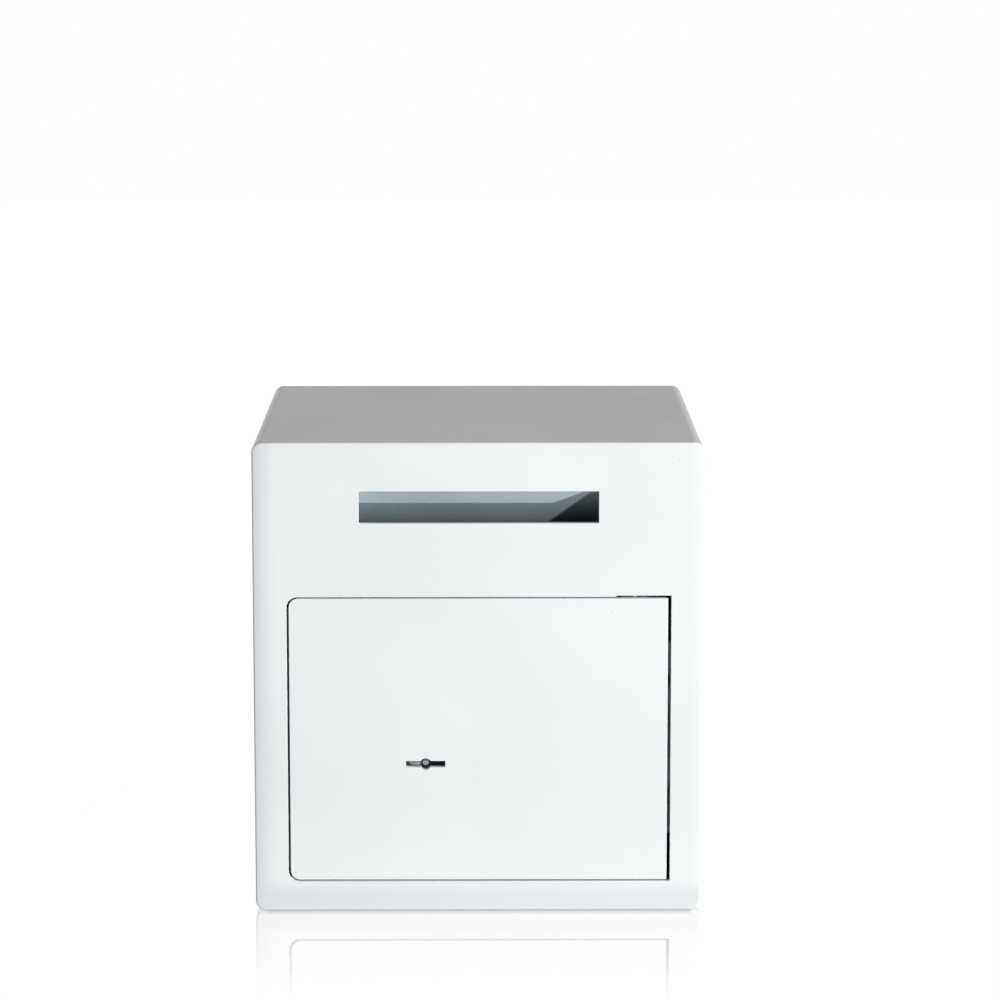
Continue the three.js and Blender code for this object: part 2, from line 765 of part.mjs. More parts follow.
// Spring comb: one shallow leaf under each lever, all on a spine that lies on the case
function makeLeverSprings() {
  const caseFloor = keyZ - lockHalfHeight + lockCaseWall;
  const rise = lockHalfHeight - lockCaseWall - leverFoot - 2 * runningClearance;
  const halfSpan = (leverLeft + leverRight) / 4;
  const middleX = keyX + (leverRight - leverLeft) / 2;
  const sag = rise - springThickness;
  const radius = (halfSpan * halfSpan + sag * sag) / (2 * sag);
  const sweep = Math.asin(halfSpan / radius);
  const sweepStart = -quarterTurn - sweep;
  const sweepEnd = -quarterTurn + sweep;
  const centreZ = caseFloor + runningClearance + radius + springThickness;
  const spine = roundedRectangle(
    middleX - springSpine / 2, caseFloor + runningClearance,
    middleX + springSpine / 2, caseFloor + runningClearance + springThickness, evenRadii(0),
  );
  const leaves = [frontPlate(spine, leverStart, leverEnd)];
  for (let index = 0; index < leverCount; index += 1) {
    const leaf = new THREE.Shape();
    leaf.absarc(middleX, centreZ, radius, sweepStart, sweepEnd, false);
    leaf.absarc(middleX, centreZ, radius + springThickness, sweepEnd, sweepStart, true);
    const front = leverStart + index * leverPitch + (leverThickness - springWidth) / 2;
    leaves.push(frontPlate(leaf, front, front + springWidth, cornerSteps / 2));
  }
  return join(leaves);
}

// Plate that holds the rotor's rim, with a slot for the stump and a notch for the bolt's thick head
const yokeX = keyX + driveRadius;
const thickHeadRight = yokeX - lockBoltLeft - lockBoltHeadStart;

function makeRotorPlate() {
  const side = lockHalfWidth - lockCaseWall - runningClearance;
  const end = lockHalfHeight - lockCaseWall - runningClearance;
  const outline = roundedRectangle(
    keyX - side, keyZ - end, keyX + side, keyZ + end, evenRadii(lockCornerRadius / 2),
  );
  outline.holes.push(roundHole(keyX, keyZ, rotorDiameter + 2 * runningClearance, fineSteps));
  const halfHeight = stumpDiameter / 2 + 2 * runningClearance;
  const halfLength = driveRadius + halfHeight;
  const stumpZ = keyZ + stumpHeight;
  outline.holes.push(roundedRectangle(
    keyX - halfLength, stumpZ - halfHeight, keyX + halfLength, stumpZ + halfHeight,
    evenRadii(halfHeight), THREE.Path,
  ));
  pushScrewHoles(outline);
  const notch = roundedRectangle(
    keyX - lockHalfWidth, keyZ - lockBoltHeadHalf - runningClearance,
    thickHeadRight + runningClearance, keyZ + lockBoltHeadHalf + runningClearance, evenRadii(0),
  );
  return cut(frontPlate(outline, rotorFront, rotorBack), [
    frontPlate(notch, rotorFront - cutOverrun, rotorBack + cutOverrun),
  ]);
}

function makeRotor() {
  const disc = new THREE.Shape(circlePoints(keyX, keyZ, rotorDiameter, fineSteps));
  disc.holes.push(keyholeOutline(runningClearance, THREE.Path));
  return frontPlate(disc, rotorFront, rotorBack);
}

function makeDrivePin() {
  return rod('y', [keyX + driveRadius, keyZ], rotorBack, lockBoltBack, drivePinDiameter, mediumSteps);
}

function makeKeyPost() {
  return rod('y', [keyX, keyZ], doorBack + keyPostRecess, lockCoverFront, keyPostDiameter, mediumSteps);
}

// Lock bolt: a plate with a yoke slot for the drive pin, a slot for the key post and a thick head
function makeLockBolt() {
  const left = yokeX - lockBoltLeft;
  const right = yokeX + lockBoltRight;
  const earLeft = yokeX - stumpEar;
  const earRight = yokeX + stumpEar;
  const earTop = keyZ + stumpHeight + stumpEar - runningClearance;
  const outline = polygon([
    [left, keyZ - lockBoltBodyHalf],
    [right, keyZ - lockBoltBodyHalf],
    [right, keyZ + lockBoltBodyHalf],
    [earRight, keyZ + lockBoltBodyHalf],
    [earRight, earTop],
    [earLeft, earTop],
    [earLeft, keyZ + lockBoltBodyHalf],
    [left, keyZ + lockBoltBodyHalf],
  ]);
  const yokeHalf = drivePinDiameter / 2 + yokePlay;
  const yokeReach = driveRadius + drivePinDiameter / 2 + runningClearance;
  const postHalf = keyPostDiameter / 2 + lockBackClearance;
  const postReach = driveRadius + postHalf;
  const yoke = roundedRectangle(
    yokeX - yokeHalf, keyZ - yokeReach, yokeX + yokeHalf, keyZ + yokeReach, evenRadii(0),
  );
  const postSlot = roundedRectangle(
    yokeX - postReach, keyZ - postHalf, yokeX + postReach, keyZ + postHalf, evenRadii(postHalf),
  );
  const head = roundedRectangle(
    boltBarBack, keyZ - lockBoltHeadHalf, left + cutOverrun, keyZ + lockBoltHeadHalf, evenRadii(0),
  );
  const thickHead = roundedRectangle(
    boltBarBack, keyZ - lockBoltHeadHalf, thickHeadRight, keyZ + lockBoltHeadHalf, evenRadii(0),
  );
  const front = lockBoltFront - cutOverrun;
  const back = lockBoltBack + cutOverrun;
  return cut(
    join([
      frontPlate(outline, lockBoltFront, lockBoltBack),
      frontPlate(head, lockBoltFront, lockBoltBack),
      frontPlate(thickHead, lockBoltBack - lockBoltHeadThickness, lockBoltBack),
    ]),
    [frontPlate(yoke, front, back), frontPlate(postSlot, front, back)],
  );
}

function makeStump() {
  return rod('y', [yokeX, keyZ + stumpHeight], leverStart, lockBoltFront, stumpDiameter, coarseSteps);
}

// Live bolts: turned bars with a chamfered tip, running in a guide angle behind the door's edge
function makeLiveBolt(height) {
  const profile = [
    [0, 0],
    [boltDiameter / 2 - boltTipChamfer, 0],
    [boltDiameter / 2, boltTipChamfer],
    [boltDiameter / 2, boltBodyLength],
    [0, boltBodyLength],
  ].map(([radius, along]) => new THREE.Vector2(radius, along));
  const geometry = new THREE.LatheGeometry(profile, mediumSteps);
  geometry.rotateZ(-quarterTurn);
  geometry.translate(boltTip, boltY, height);
  const bore = rod(
    'x', [boltY, height], boltRoot - boltScrewGrip, boltRoot + cutOverrun,
    boltScrewShank + 2 * runningClearance, coarseSteps,
  );
  return cut(geometry, [bore]);
}

function makeBoltBar() {
  const half = boltDiameter / 2;
  const bottom = boltHeights[0] - boltBarEnd;
  const top = boltHeights[1] + boltBarEnd;
  const outline = roundedRectangle(boltY - half, bottom, boltY + half, top, evenRadii(half / 2));
  for (const height of boltHeights) {
    outline.holes.push(roundHole(boltY, height, boltScrewShank + 2 * runningClearance));
  }
  return sideProfile(outline, boltRoot, boltBarBack);
}

function makeBoltScrew(height) {
  const tip = boltRoot - boltScrewGrip + screwRecess;
  const screw = panScrew([0, 0], boltBarBack, tip, boltScrewHead, boltScrewHeadHeight, boltScrewShank);
  screw.rotateZ(-quarterTurn);
  screw.translate(0, boltY, height);
  return screw;
}

function makeBoltGuide() {
  const left = coverLeft + boltGuideSetback;
  const right = left + boltGuideThickness;
  const outline = polygon([
    [left, doorBack],
    [left + boltGuideFlange, doorBack],
    [left + boltGuideFlange, doorBack + boltGuideThickness],
    [right, doorBack + boltGuideThickness],
    [right, doorBack + boltGuideRise],
    [left, doorBack + boltGuideRise],
  ]);
  const angle = planProfile(outline, boltHeights[0] - boltGuideEnd, boltHeights[1] + boltGuideEnd);
  return cut(angle, boltHeights.map((height) => (
    rod('x', [boltY, height], left - cutOverrun, right + cutOverrun, boltDiameter + 2 * runningClearance)
  )));
}

// Boltwork cover: a folded tray on four pillars, with a hole in its left wall for each bolt
function pillarPlaces() {
  const left = coverLeft + pillarInset;
  const right = coverRight - pillarInset;
  const bottom = coverBottom + pillarInset;
  const top = coverTop - pillarInset;
  return [[left, bottom], [right, bottom], [right, top], [left, top]];
}

function makeBoltworkCover() {
  const outline = roundedRectangle(
    coverLeft, coverBottom, coverRight, coverTop, evenRadii(coverCornerRadius),
  );
  const hollow = roundedRectangle(
    coverLeft + coverSheet, coverBottom + coverSheet, coverRight - coverSheet, coverTop - coverSheet,
    evenRadii(coverCornerRadius / 2),
  );
  const boltHole = boltDiameter + 4 * runningClearance;
  const screwHole = coverScrewShank + 2 * runningClearance;
  return cut(frontPlate(outline, doorBack, coverBack), [
    frontPlate(hollow, doorBack - cutOverrun, coverInside),
    ...boltHeights.map((height) => (
      rod('x', [boltY, height], coverLeft - cutOverrun, coverLeft + coverSheet + cutOverrun, boltHole)
    )),
    ...pillarPlaces().map((place) => (
      rod('y', place, coverInside - cutOverrun, coverBack + cutOverrun, screwHole, coarseSteps)
    )),
  ]);
}

function makeCoverPillar(place) {
  const bore = rod(
    'y', place, coverInside - coverScrewGrip, coverInside + cutOverrun,
    coverScrewShank + 2 * runningClearance, coarseSteps,
  );
  return cut(rod('y', place, doorBack, coverInside, pillarDiameter, coarseSteps), [bore]);
}

// Pan-head screw: a domed head on a plain shank, head towards the back
function panScrew(place, seat, tip, headDiameter, headHeight, shankDiameter) {
  const radius = headDiameter / 2;
  const crown = headHeight / 2;
  const profile = [
    [0, tip],
    [shankDiameter / 2, tip],
    [shankDiameter / 2, seat],
    [radius, seat],
    [radius, seat + crown],
    [radius * crownShare, seat + headHeight],
    [0, seat + headHeight],
  ].map(([across, along]) => new THREE.Vector2(across, along));
  const geometry = new THREE.LatheGeometry(profile, screwSteps);
  geometry.translate(place[0], 0, place[1]);
  return geometry;
}

function makeCoverScrew(place) {
  const tip = coverInside - coverScrewGrip + screwRecess;
  return panScrew(place, coverBack, tip, coverScrewHead, coverScrewHeadHeight, coverScrewShank);
}

function makeLockScrew(place) {
  const tip = doorBack + runningClearance;
  return panScrew(place, lockCoverBack, tip, lockScrewHead, lockScrewHeadHeight, lockScrewShank);
}

const safe = new THREE.Group();

const cabinet = new THREE.Group();
addPiece(cabinet, 'body_shell', makeBodyShell(), 'paint');
addPiece(cabinet, 'front_plate', makeFrontPlate(), 'paint');
addPiece(cabinet, 'rear_plate', makeRearPlate(), 'paint');
addPiece(cabinet, 'deposit_deflector', makeDeflector(), 'inside');
addPiece(cabinet, 'chute_floor', makeChuteFloor(), 'inside');
addPiece(cabinet, 'chute_cheek_left', makeCheek(chuteLeft - chuteSheet, chuteLeft), 'inside');
addPiece(cabinet, 'chute_cheek_right', makeCheek(chuteRight, chuteRight + chuteSheet), 'inside');
addPiece(cabinet, 'door_stop_left', makeLeftStop(), 'inside');
addPiece(cabinet, 'door_stop_top', makeLevelStop(doorwayTop, -1), 'inside');
addPiece(cabinet, 'door_stop_bottom', makeLevelStop(doorwayBottom, 1), 'inside');
addPiece(cabinet, 'hinge_bracket_upper', makeHingeBracket(upperBracketFace, 1), 'inside');
addPiece(cabinet, 'hinge_bracket_lower', makeHingeBracket(lowerBracketFace, -1), 'inside');
addPiece(cabinet, 'hinge_thrust_washer', makeWasher(), 'brass');
safe.add(cabinet);

const door = new THREE.Group();
addPiece(door, 'door_plate', makeDoorPlate(), 'paint');
addPiece(door, 'hinge_block_upper', makeHingeBlock(doorTop - hingeBlockHeight), 'steel');
addPiece(door, 'hinge_block_lower', makeHingeBlock(doorBottom), 'steel');
addPiece(door, 'hinge_pin_upper', makeHingePin(
  doorTop - hingePinSeat, upperBracketFace + bracketLeg - runningClearance,
), 'zinc');
addPiece(door, 'hinge_pin_lower', makeHingePin(
  doorBottom + hingePinSeat, lowerBracketFace - bracketLeg + runningClearance,
), 'zinc');
addPiece(door, 'hinge_side_dog', makeHingeDog(), 'hard');
addPiece(door, 'bolt_guide', makeBoltGuide(), 'zinc');
addPiece(door, 'boltwork_cover', makeBoltworkCover(), 'inside');
pillarPlaces().forEach((place, index) => {
  addPiece(door, `cover_pillar_${index + 1}`, makeCoverPillar(place), 'zinc');
  addPiece(door, `cover_screw_${index + 1}`, makeCoverScrew(place), 'zinc');
});
addPiece(door, 'hard_plate', makeHardPlate(), 'hard');
addPiece(door, 'lock_case', makeLockCase(), 'zinc');
addPiece(door, 'lock_cover', makeLockCover(), 'zinc');
lockScrewPlaces().forEach((place, index) => {
  addPiece(door, `lock_screw_${index + 1}`, makeLockScrew(place), 'zinc');
});
leverPostPlaces().forEach((place, index) => {
  addPiece(door, `lever_post_${index + 1}`, makeLeverPost(place), 'steel');
});
for (let index = 0; index < leverCount; index += 1) {
  addPiece(door, `lever_${index + 1}`, makeLever(index), 'steel');
}
addPiece(door, 'lever_springs', makeLeverSprings(), 'brass');
addPiece(door, 'rotor_plate', makeRotorPlate(), 'zinc');
addPiece(door, 'key_post', makeKeyPost(), 'steel');
safe.add(door);

const rotor = new THREE.Group();
addPiece(rotor, 'lock_rotor', makeRotor(), 'steel');
addPiece(rotor, 'drive_pin', makeDrivePin(), 'steel');
door.add(rotor);

const boltwork = new THREE.Group();
addPiece(boltwork, 'lock_bolt', makeLockBolt(), 'brass');
addPiece(boltwork, 'lock_bolt_stump', makeStump(), 'steel');
addPiece(boltwork, 'bolt_bar', makeBoltBar(), 'zinc');
boltHeights.forEach((height, index) => {
  const side = ['lower', 'upper'][index];
  addPiece(boltwork, `live_bolt_${side}`, makeLiveBolt(height), 'zinc');
  addPiece(boltwork, `bolt_screw_${side}`, makeBoltScrew(height), 'zinc');
});
door.add(boltwork);

export default safe;
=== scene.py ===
"""The looks of a small white deposit safe: powder-coated sheet steel, a key lock and plated bolts.

Lengths are metres in the shared frame: the front looks along -Y, X is to the right and Z is up.
"""

import json
import logging
from abc import ABC, abstractmethod
from collections.abc import Iterable
from dataclasses import dataclass, field, replace
from enum import Enum
from math import asin, copysign, cos, pi, radians, sin, tau

import bmesh
import bpy
from mathutils import Euler, Matrix, Vector
from mathutils.geometry import tessellate_polygon

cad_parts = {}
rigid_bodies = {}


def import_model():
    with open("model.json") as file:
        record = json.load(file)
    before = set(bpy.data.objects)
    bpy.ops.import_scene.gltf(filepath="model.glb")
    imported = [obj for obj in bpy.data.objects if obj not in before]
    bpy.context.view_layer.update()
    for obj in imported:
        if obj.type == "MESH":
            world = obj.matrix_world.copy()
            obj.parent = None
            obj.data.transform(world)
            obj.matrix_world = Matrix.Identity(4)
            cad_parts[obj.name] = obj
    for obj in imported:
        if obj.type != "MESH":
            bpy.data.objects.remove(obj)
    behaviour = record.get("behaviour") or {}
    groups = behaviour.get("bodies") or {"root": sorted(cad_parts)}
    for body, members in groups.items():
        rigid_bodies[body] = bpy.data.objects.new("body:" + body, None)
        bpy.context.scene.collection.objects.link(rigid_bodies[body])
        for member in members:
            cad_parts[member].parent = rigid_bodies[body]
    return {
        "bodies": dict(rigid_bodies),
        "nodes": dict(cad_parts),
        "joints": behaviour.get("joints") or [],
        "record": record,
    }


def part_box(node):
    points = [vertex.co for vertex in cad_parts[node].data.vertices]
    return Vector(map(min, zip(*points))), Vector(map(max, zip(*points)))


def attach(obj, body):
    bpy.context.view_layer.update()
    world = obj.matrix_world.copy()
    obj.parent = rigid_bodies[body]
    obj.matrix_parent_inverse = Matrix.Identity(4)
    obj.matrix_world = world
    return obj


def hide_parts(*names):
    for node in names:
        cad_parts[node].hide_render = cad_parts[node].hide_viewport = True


MM = 0.001
FRONT_Y = -172.5 * MM
QUARTER = pi / 2
# Corners closer than this are one corner
WELD = 0.002 * MM
# Faces within this angle are one flat face
FLAT = radians(0.4)
# Shading breaks at edges past the first angle, and a bevel rounds those past the second
CREASE = radians(35)
ROUNDED = radians(40)
# Pieces in each rounded edge
EDGE_STEPS = 3
# A noise texture's values lie mostly between these
CLOUD_LOW, CLOUD_HIGH = 0.35, 0.65
KIND_STARTS = {"SHADER": "ShaderNode", "GEOMETRY": "GeometryNode"}
# A fade's inputs: what it follows, from where to where, and its value at each
FADE = ("Value", "From Min", "From Max", "To Min", "To Max")
LOG = logging.getLogger("deposit_safe")

Point = tuple[float, float]
Triple = tuple[float, float, float]
Loop = list[Point]
Row = tuple[Loop, float]
Colour = tuple[float, float, float, float]
Mesh = bpy.types.Mesh
Piece = bpy.types.Object
Tree = bpy.types.NodeTree
Node = bpy.types.Node
Source = bpy.types.Node | bpy.types.NodeSocket


class Body(Enum):
    """The bodies that new pieces ride on."""

    CABINET = "cabinet"
    DOOR = "door"
    BOLTWORK = "boltwork"


class Slot(Enum):
    """The material slots of the part's record."""

    CABINET_PAINT = "cabinet_paint"
    DOOR_PAINT = "door_paint"
    INNER_PAINT = "inner_paint"
    BRIGHT_ZINC = "bright_zinc"
    PLAIN_STEEL = "plain_steel"
    HARD_STEEL = "hard_steel"
    BRASS = "brass"


class Facing(Enum):
    """The way that a screw's head or a live bolt's root looks, as an Euler turn of +Z."""

    BACK = (-QUARTER, 0.0, 0.0)
    RIGHT = (0.0, QUARTER, 0.0)


def four(stem: str) -> tuple[str, ...]:
    """The names of four numbered solids."""
    return tuple(f"{stem}_{index}" for index in range(1, 5))


# Colours and node trees


def linear(code: str) -> Colour:
    """Turns an sRGB colour of six hex digits into linear red, green and blue with a full alpha."""
    shares = [int(code[i:i + 2], 16) / 255 for i in (0, 2, 4)]
    red, green, blue = [s / 12.92 if s <= 0.04045 else ((s + 0.055) / 1.055) ** 2.4 for s in shares]
    return (red, green, blue, 1.0)


WHITE = linear("ffffff")


def put(tree: Tree, kind: str, inputs: dict | None = None, **settings: object) -> Node:
    """Adds a node with its settings and links.

    Args:
        tree: the tree that takes the node.
        kind: the node's Blender type, which may leave out ShaderNode or GeometryNode in front.
        inputs: for each, by name or number, a value, a socket or node to link from, or a list of those.
        settings: the node's own settings.

    Returns:
        The new node.
    """
    node = tree.nodes.new(kind if "Node" in kind else KIND_STARTS[tree.type] + kind)
    for name, value in settings.items():
        setattr(node, name, value)
    for name, given in (inputs or {}).items():
        for value in given if isinstance(given, list) else [given]:
            if isinstance(value, Node):
                value = value.outputs[0]
            if isinstance(value, bpy.types.NodeSocket):
                tree.links.new(value, node.inputs[name])
            else:
                node.inputs[name].default_value = value
    return node


def clean_tree(owner: bpy.types.Material | bpy.types.World) -> Tree:
    """Gives a material or a world an empty node tree."""
    owner.use_nodes = True
    owner.node_tree.nodes.clear()
    return owner.node_tree


def drift(tree: Tree, where: Source, pitch: float, low: float = 0.0, high: float = 1.0,
          detail: float = 2.0, run: Triple = (1.0, 1.0, 1.0)) -> Node:
    """A number that drifts between two values in soft clouds of a real size.

    Args:
        tree: the material's tree.
        where: the coordinates in metres.
        pitch: the size of one cloud in metres.
        low, high: the values in a thin place and in a thick one.
        detail: how many finer layers the clouds have.
        run: scale along X, Y and Z, for grain that runs one way.

    Returns:
        The node whose output is the number.
    """
    place = put(tree, "Mapping", {"Vector": where, "Scale": run})
    cloud = put(tree, "TexNoise", {"Vector": place, "Scale": 1 / pitch, "Detail": detail})
    limits = dict(zip(FADE, (cloud, CLOUD_LOW, CLOUD_HIGH, low, high)))
    return put(tree, "MapRange", limits, interpolation_type="SMOOTHSTEP")


def lay(tree: Tree, film: Source | Colour, tone: str, measure: Source, full: float, none: float,
        most: float) -> Source:
    """Lays a tone over a film, fading out as a measured value changes.

    Args:
        tree: the material's tree.
        film: the colour underneath.
        tone: the tone's sRGB code.
        measure: the value that the tone follows.
        full, none: where the tone is strongest, and where it has gone.
        most: its share where it is strongest.

    Returns:
        The new colour's socket.
    """
    limits = dict(zip(FADE, (measure, full, none, most, 0.0)))
    share = put(tree, "MapRange", limits, interpolation_type="SMOOTHSTEP")
    return put(tree, "Mix", {0: share, 6: film, 7: linear(tone)}, data_type="RGBA").outputs[2]


# Finishes


@dataclass(frozen=True)
class Finish(ABC):
    """A finish of one real material, as a procedural shader."""

    name: str
    slot: Slot
    colour: str
    roughness: float

    @abstractmethod
    def surface(self, tree: Tree, where: Source) -> dict:
        """Works out the shader's inputs from the coordinates: colour, roughness and relief."""

    def material(self) -> bpy.types.Material:
        """Makes the finish's material once and returns it after that."""
        made = bpy.data.materials.get(self.name)
        if made is None:
            made = bpy.data.materials.new(self.name)
            tree = clean_tree(made)
            where = put(tree, "TexCoord").outputs["Object"]
            put(tree, "OutputMaterial", {0: put(tree, "BsdfPrincipled", self.surface(tree, where))})
        return made


@dataclass(frozen=True)
class PaintedShade:
    """A tone of painted shade that fades in along one axis."""

    axis: int
    full: float
    none: float
    tone: str
    share: float


@dataclass(frozen=True)
class PowderCoat(Finish):
    """Powder sprayed on steel and baked, or a fine crystal coat: an even film with a fine orange peel,
    a slow drift of tone where the film is thicker, and now and then a dark speck baked into it."""

    thin_colour: str = "f1f4f5"
    drift_pitch: float = 140 * MM
    peel_pitch: float = 1.7 * MM
    peel_height: float = 0.012 * MM
    speck_cell: float = 24 * MM
    speck_radius: float = 0.42 * MM
    speck_colour: str = "8f9496"
    rub: float = 0.0
    rub_colour: str = "9aa0a2"
    rub_pitch: float = 9 * MM
    rub_run: Triple = (1.0, 0.15, 0.15)
    rub_onset: float = 0.5
    gloss_spread: float = 0.02
    specular: float = 0.35
    painted_shades: tuple[PaintedShade, ...] = ()

    def surface(self, tree: Tree, where: Source) -> dict:
        """Works out the film's colour with specks, rubbed places and painted shade, its gloss and its
        peel.
        """
        thick = drift(tree, where, self.drift_pitch)
        film = lay(tree, linear(self.colour), self.thin_colour, thick, 1.0, 0.0, 1.0)
        cells = put(tree, "TexVoronoi", {"Vector": where, "Scale": 1 / self.speck_cell})
        reach = self.speck_radius / self.speck_cell
        film = lay(tree, film, self.speck_colour, cells.outputs["Distance"], reach / 2, reach, 1.0)
        if self.rub:
            streaks = drift(tree, where, self.rub_pitch, detail=6.0, run=self.rub_run)
            film = lay(tree, film, self.rub_colour, streaks, 1.0, self.rub_onset, self.rub)
        place = put(tree, "SeparateXYZ", {0: where})
        # Lay the bands of painted shade over the film
        for grey in self.painted_shades:
            film = lay(tree, film, grey.tone, place.outputs[grey.axis], grey.full, grey.none, grey.share)
        matt, satin = self.roughness + self.gloss_spread, self.roughness - self.gloss_spread
        peel = {"Height": drift(tree, where, self.peel_pitch, detail=1.0), "Distance": self.peel_height}
        return {
            "Base Color": film, "Roughness": drift(tree, where, self.rub_pitch, satin, matt, detail=4.0),
            "Normal": put(tree, "Bump", peel), "Specular IOR Level": self.specular,
        }


@dataclass(frozen=True)
class Metal(Finish):
    """Bare or plated metal: a coloured mirror broken up by clouds in its film and by working marks."""

    second_colour: str = "b9bec2"
    cloud_pitch: float = 12 * MM
    grain_pitch: float = 0.5 * MM
    grain_height: float = 0.006 * MM
    grain_run: Triple = (1.0, 1.0, 1.0)
    stain: float = 0.0
    stain_colour: str = "6b6257"
    stain_onset: float = 0.6
    roughness_spread: float = 0.08

    def surface(self, tree: Tree, where: Source) -> dict:
        """Works out the metal's two tones with its stains, its gloss and its marks."""
        cloud = drift(tree, where, self.cloud_pitch, detail=5.0)
        tone = lay(tree, linear(self.colour), self.second_colour, cloud, 1.0, 0.0, 1.0)
        if self.stain:
            spots = drift(tree, where, self.cloud_pitch / 3, detail=8.0)
            tone = lay(tree, tone, self.stain_colour, spots, 1.0, self.stain_onset, self.stain)
        low, high = self.roughness - self.roughness_spread, self.roughness + self.roughness_spread
        grain = drift(tree, where, self.grain_pitch, detail=3.0, run=self.grain_run)
        marks = {"Height": grain, "Distance": self.grain_height}
        return {
            "Base Color": tone, "Roughness": drift(tree, where, self.cloud_pitch, low, high, detail=5.0),
            "Normal": put(tree, "Bump", marks), "Metallic": 1.0,
        }


# Satin white powder, baked: nearly neutral white, a soft sheen, fine peel
WHITE_POWDER = PowderCoat("white_powder_coat", Slot.CABINET_PAINT, "f5f8f9", 0.5)
# Painted shade on the front and door, hardly seen: none at the slot's height and most at the base
LOW_SHADE = PaintedShade(axis=2, full=0.0, none=300 * MM, tone="e2e6e7", share=0.5)
# Matt white powder that mirrors next to nothing, with painted shade darkening its left and lower borders
FRONT_POWDER = replace(
    WHITE_POWDER, name="white_powder_coat_front", roughness=0.8,
    painted_shades=(
        LOW_SHADE,
        PaintedShade(axis=0, full=-177 * MM, none=-155 * MM, tone="dae0e2", share=0.95),
        PaintedShade(axis=2, full=11 * MM, none=27 * MM, tone="dadee0", share=0.85),
    ),
)
# The same matt powder on the door, which is sprayed on its own, with the same painted shade toward the
# base
DOOR_POWDER = PowderCoat(
    "white_powder_coat_door", Slot.DOOR_PAINT, "f4f8f9", 0.8, peel_pitch=1.6 * MM, painted_shades=(LOW_SHADE,),
)
# Thin grey undercoat baked on inner parts: duller than the outside and faintly rubbed
CHUTE_PRIMER = PowderCoat(
    "blue_grey_primer", Slot.INNER_PAINT, "bdcdd5", 0.55, thin_colour="b8c8d0", drift_pitch=70 * MM,
    peel_pitch=1.1 * MM, rub=0.06, rub_colour="aab9c1",
)
# The same undercoat on the deflector, with painted shade that darkens it toward its lower edge
DEFLECTOR_PRIMER = replace(
    CHUTE_PRIMER, name="soiled_primer", thin_colour="b5c5cd", rub=0.1,
    painted_shades=(PaintedShade(axis=2, full=290 * MM, none=319 * MM, tone="54656f", share=0.95),),
)
# The same undercoat where deposits slide and the door shuts, duller and a good deal greyer: painted shade
# for the chute floor and for the stops seen through the door gap, with rubbed streaks
PAINTED_SHADE_PRIMER = replace(
    CHUTE_PRIMER, name="worn_primer", colour="737e85", roughness=0.5, thin_colour="687379",
    drift_pitch=40 * MM, rub=0.5, rub_colour="626c72", rub_pitch=6 * MM,
)
# Bright zinc on turned and pressed steel: cool, cloudy, with a faint yellow cast from the passivation
BRIGHT_ZINC = Metal(
    "bright_zinc_plate", Slot.BRIGHT_ZINC, "d3d7da", 0.3, second_colour="c3c4bd", grain_pitch=0.4 * MM,
)
# Cold-rolled sheet: grey, with rolling marks along its length and a little rust bloom
ROLLED_STEEL = Metal(
    "cold_rolled_steel", Slot.PLAIN_STEEL, "b6babd", 0.48, second_colour="a0a5a8",
    grain_run=(0.12, 1.0, 1.0), stain=0.25,
)
# Hardened and blackened steel: a near-black oxide film with blue and brown clouds under a trace of oil
HARD_STEEL = Metal(
    "blackened_hard_steel", Slot.HARD_STEEL, "62676c", 0.44, second_colour="524e4a",
    cloud_pitch=18 * MM, stain=0.2, stain_colour="3a3633",
)
# Tumbled machined steel: matt and blue-grey, its edges dulled, so that it scatters what light it gets
TUMBLED_STEEL = Metal(
    "tumbled_steel", Slot.PLAIN_STEEL, "b9c2c9", 0.6, second_colour="aab3ba", cloud_pitch=7 * MM,
    grain_pitch=0.3 * MM, grain_height=0.01 * MM, stain=0.08, roughness_spread=0.06,
)
# Zinc-phosphated steel: a matt blue-grey coat of fine crystals, with no shine left to mirror the room
PHOSPHATED_STEEL = PowderCoat(
    "phosphated_steel", Slot.PLAIN_STEEL, "b9c7d0", 0.8, thin_colour="a9b7c0", drift_pitch=6 * MM,
    peel_pitch=0.3 * MM, peel_height=0.005 * MM, rub=0.3, rub_colour="a3aeb6", rub_pitch=2 * MM,
)
# Rolled brass sheet: warm yellow with fine grain along the strip and brown where it has tarnished
ROLLED_BRASS = Metal(
    "rolled_brass", Slot.BRASS, "d9b866", 0.28, second_colour="c8a24f", grain_run=(0.1, 1.0, 1.0),
    stain=0.3, stain_colour="8a6a35",
)


# Mesh helpers


def rounded_rectangle(left: float, right: float, bottom: float, top: float,
                      radii: tuple[float, ...], steps: int) -> Loop:
    """The outline of a rectangle with round corners, anticlockwise seen from the front.

    Args:
        left, right, bottom, top: its sides.
        radii: four corner radii, bottom left first and on round to the top left.
        steps: pieces in each corner's arc.

    Returns:
        The points, starting with the bottom left corner's.
    """
    points: Loop = []
    ends = [(left, bottom, 1, 1), (right, bottom, -1, 1), (right, top, -1, -1), (left, top, 1, -1)]
    for index, ((x, z, inward, upward), radius) in enumerate(zip(ends, radii)):
        for step in range(steps + 1):
            angle = pi + (index + step / steps) * QUARTER
            reach, rise = inward + cos(angle), upward + sin(angle)
            points.append((x + radius * reach, z + radius * rise))
    return points


def ring(radius: float, steps: int) -> Loop:
    """The points of a circle about the origin, anticlockwise."""
    turns = [tau * step / steps for step in range(steps)]
    return [(radius * cos(turn), radius * sin(turn)) for turn in turns]


def offset(outline: Loop, distance: float) -> Loop:
    """Moves an anticlockwise outline's sides outward, or inward for a negative distance."""
    sharpest = 0.3
    moved: Loop = []
    for index, (x, z) in enumerate(outline):
        before, after = outline[index - 1], outline[(index + 1) % len(outline)]
        one = Vector((z - before[1], before[0] - x)).normalized()
        other = Vector((after[1] - z, x - after[0])).normalized()
        push = (one + other) / max(1 + one.dot(other), sharpest)
        moved.append((x + distance * push.x, z + distance * push.y))
    return moved


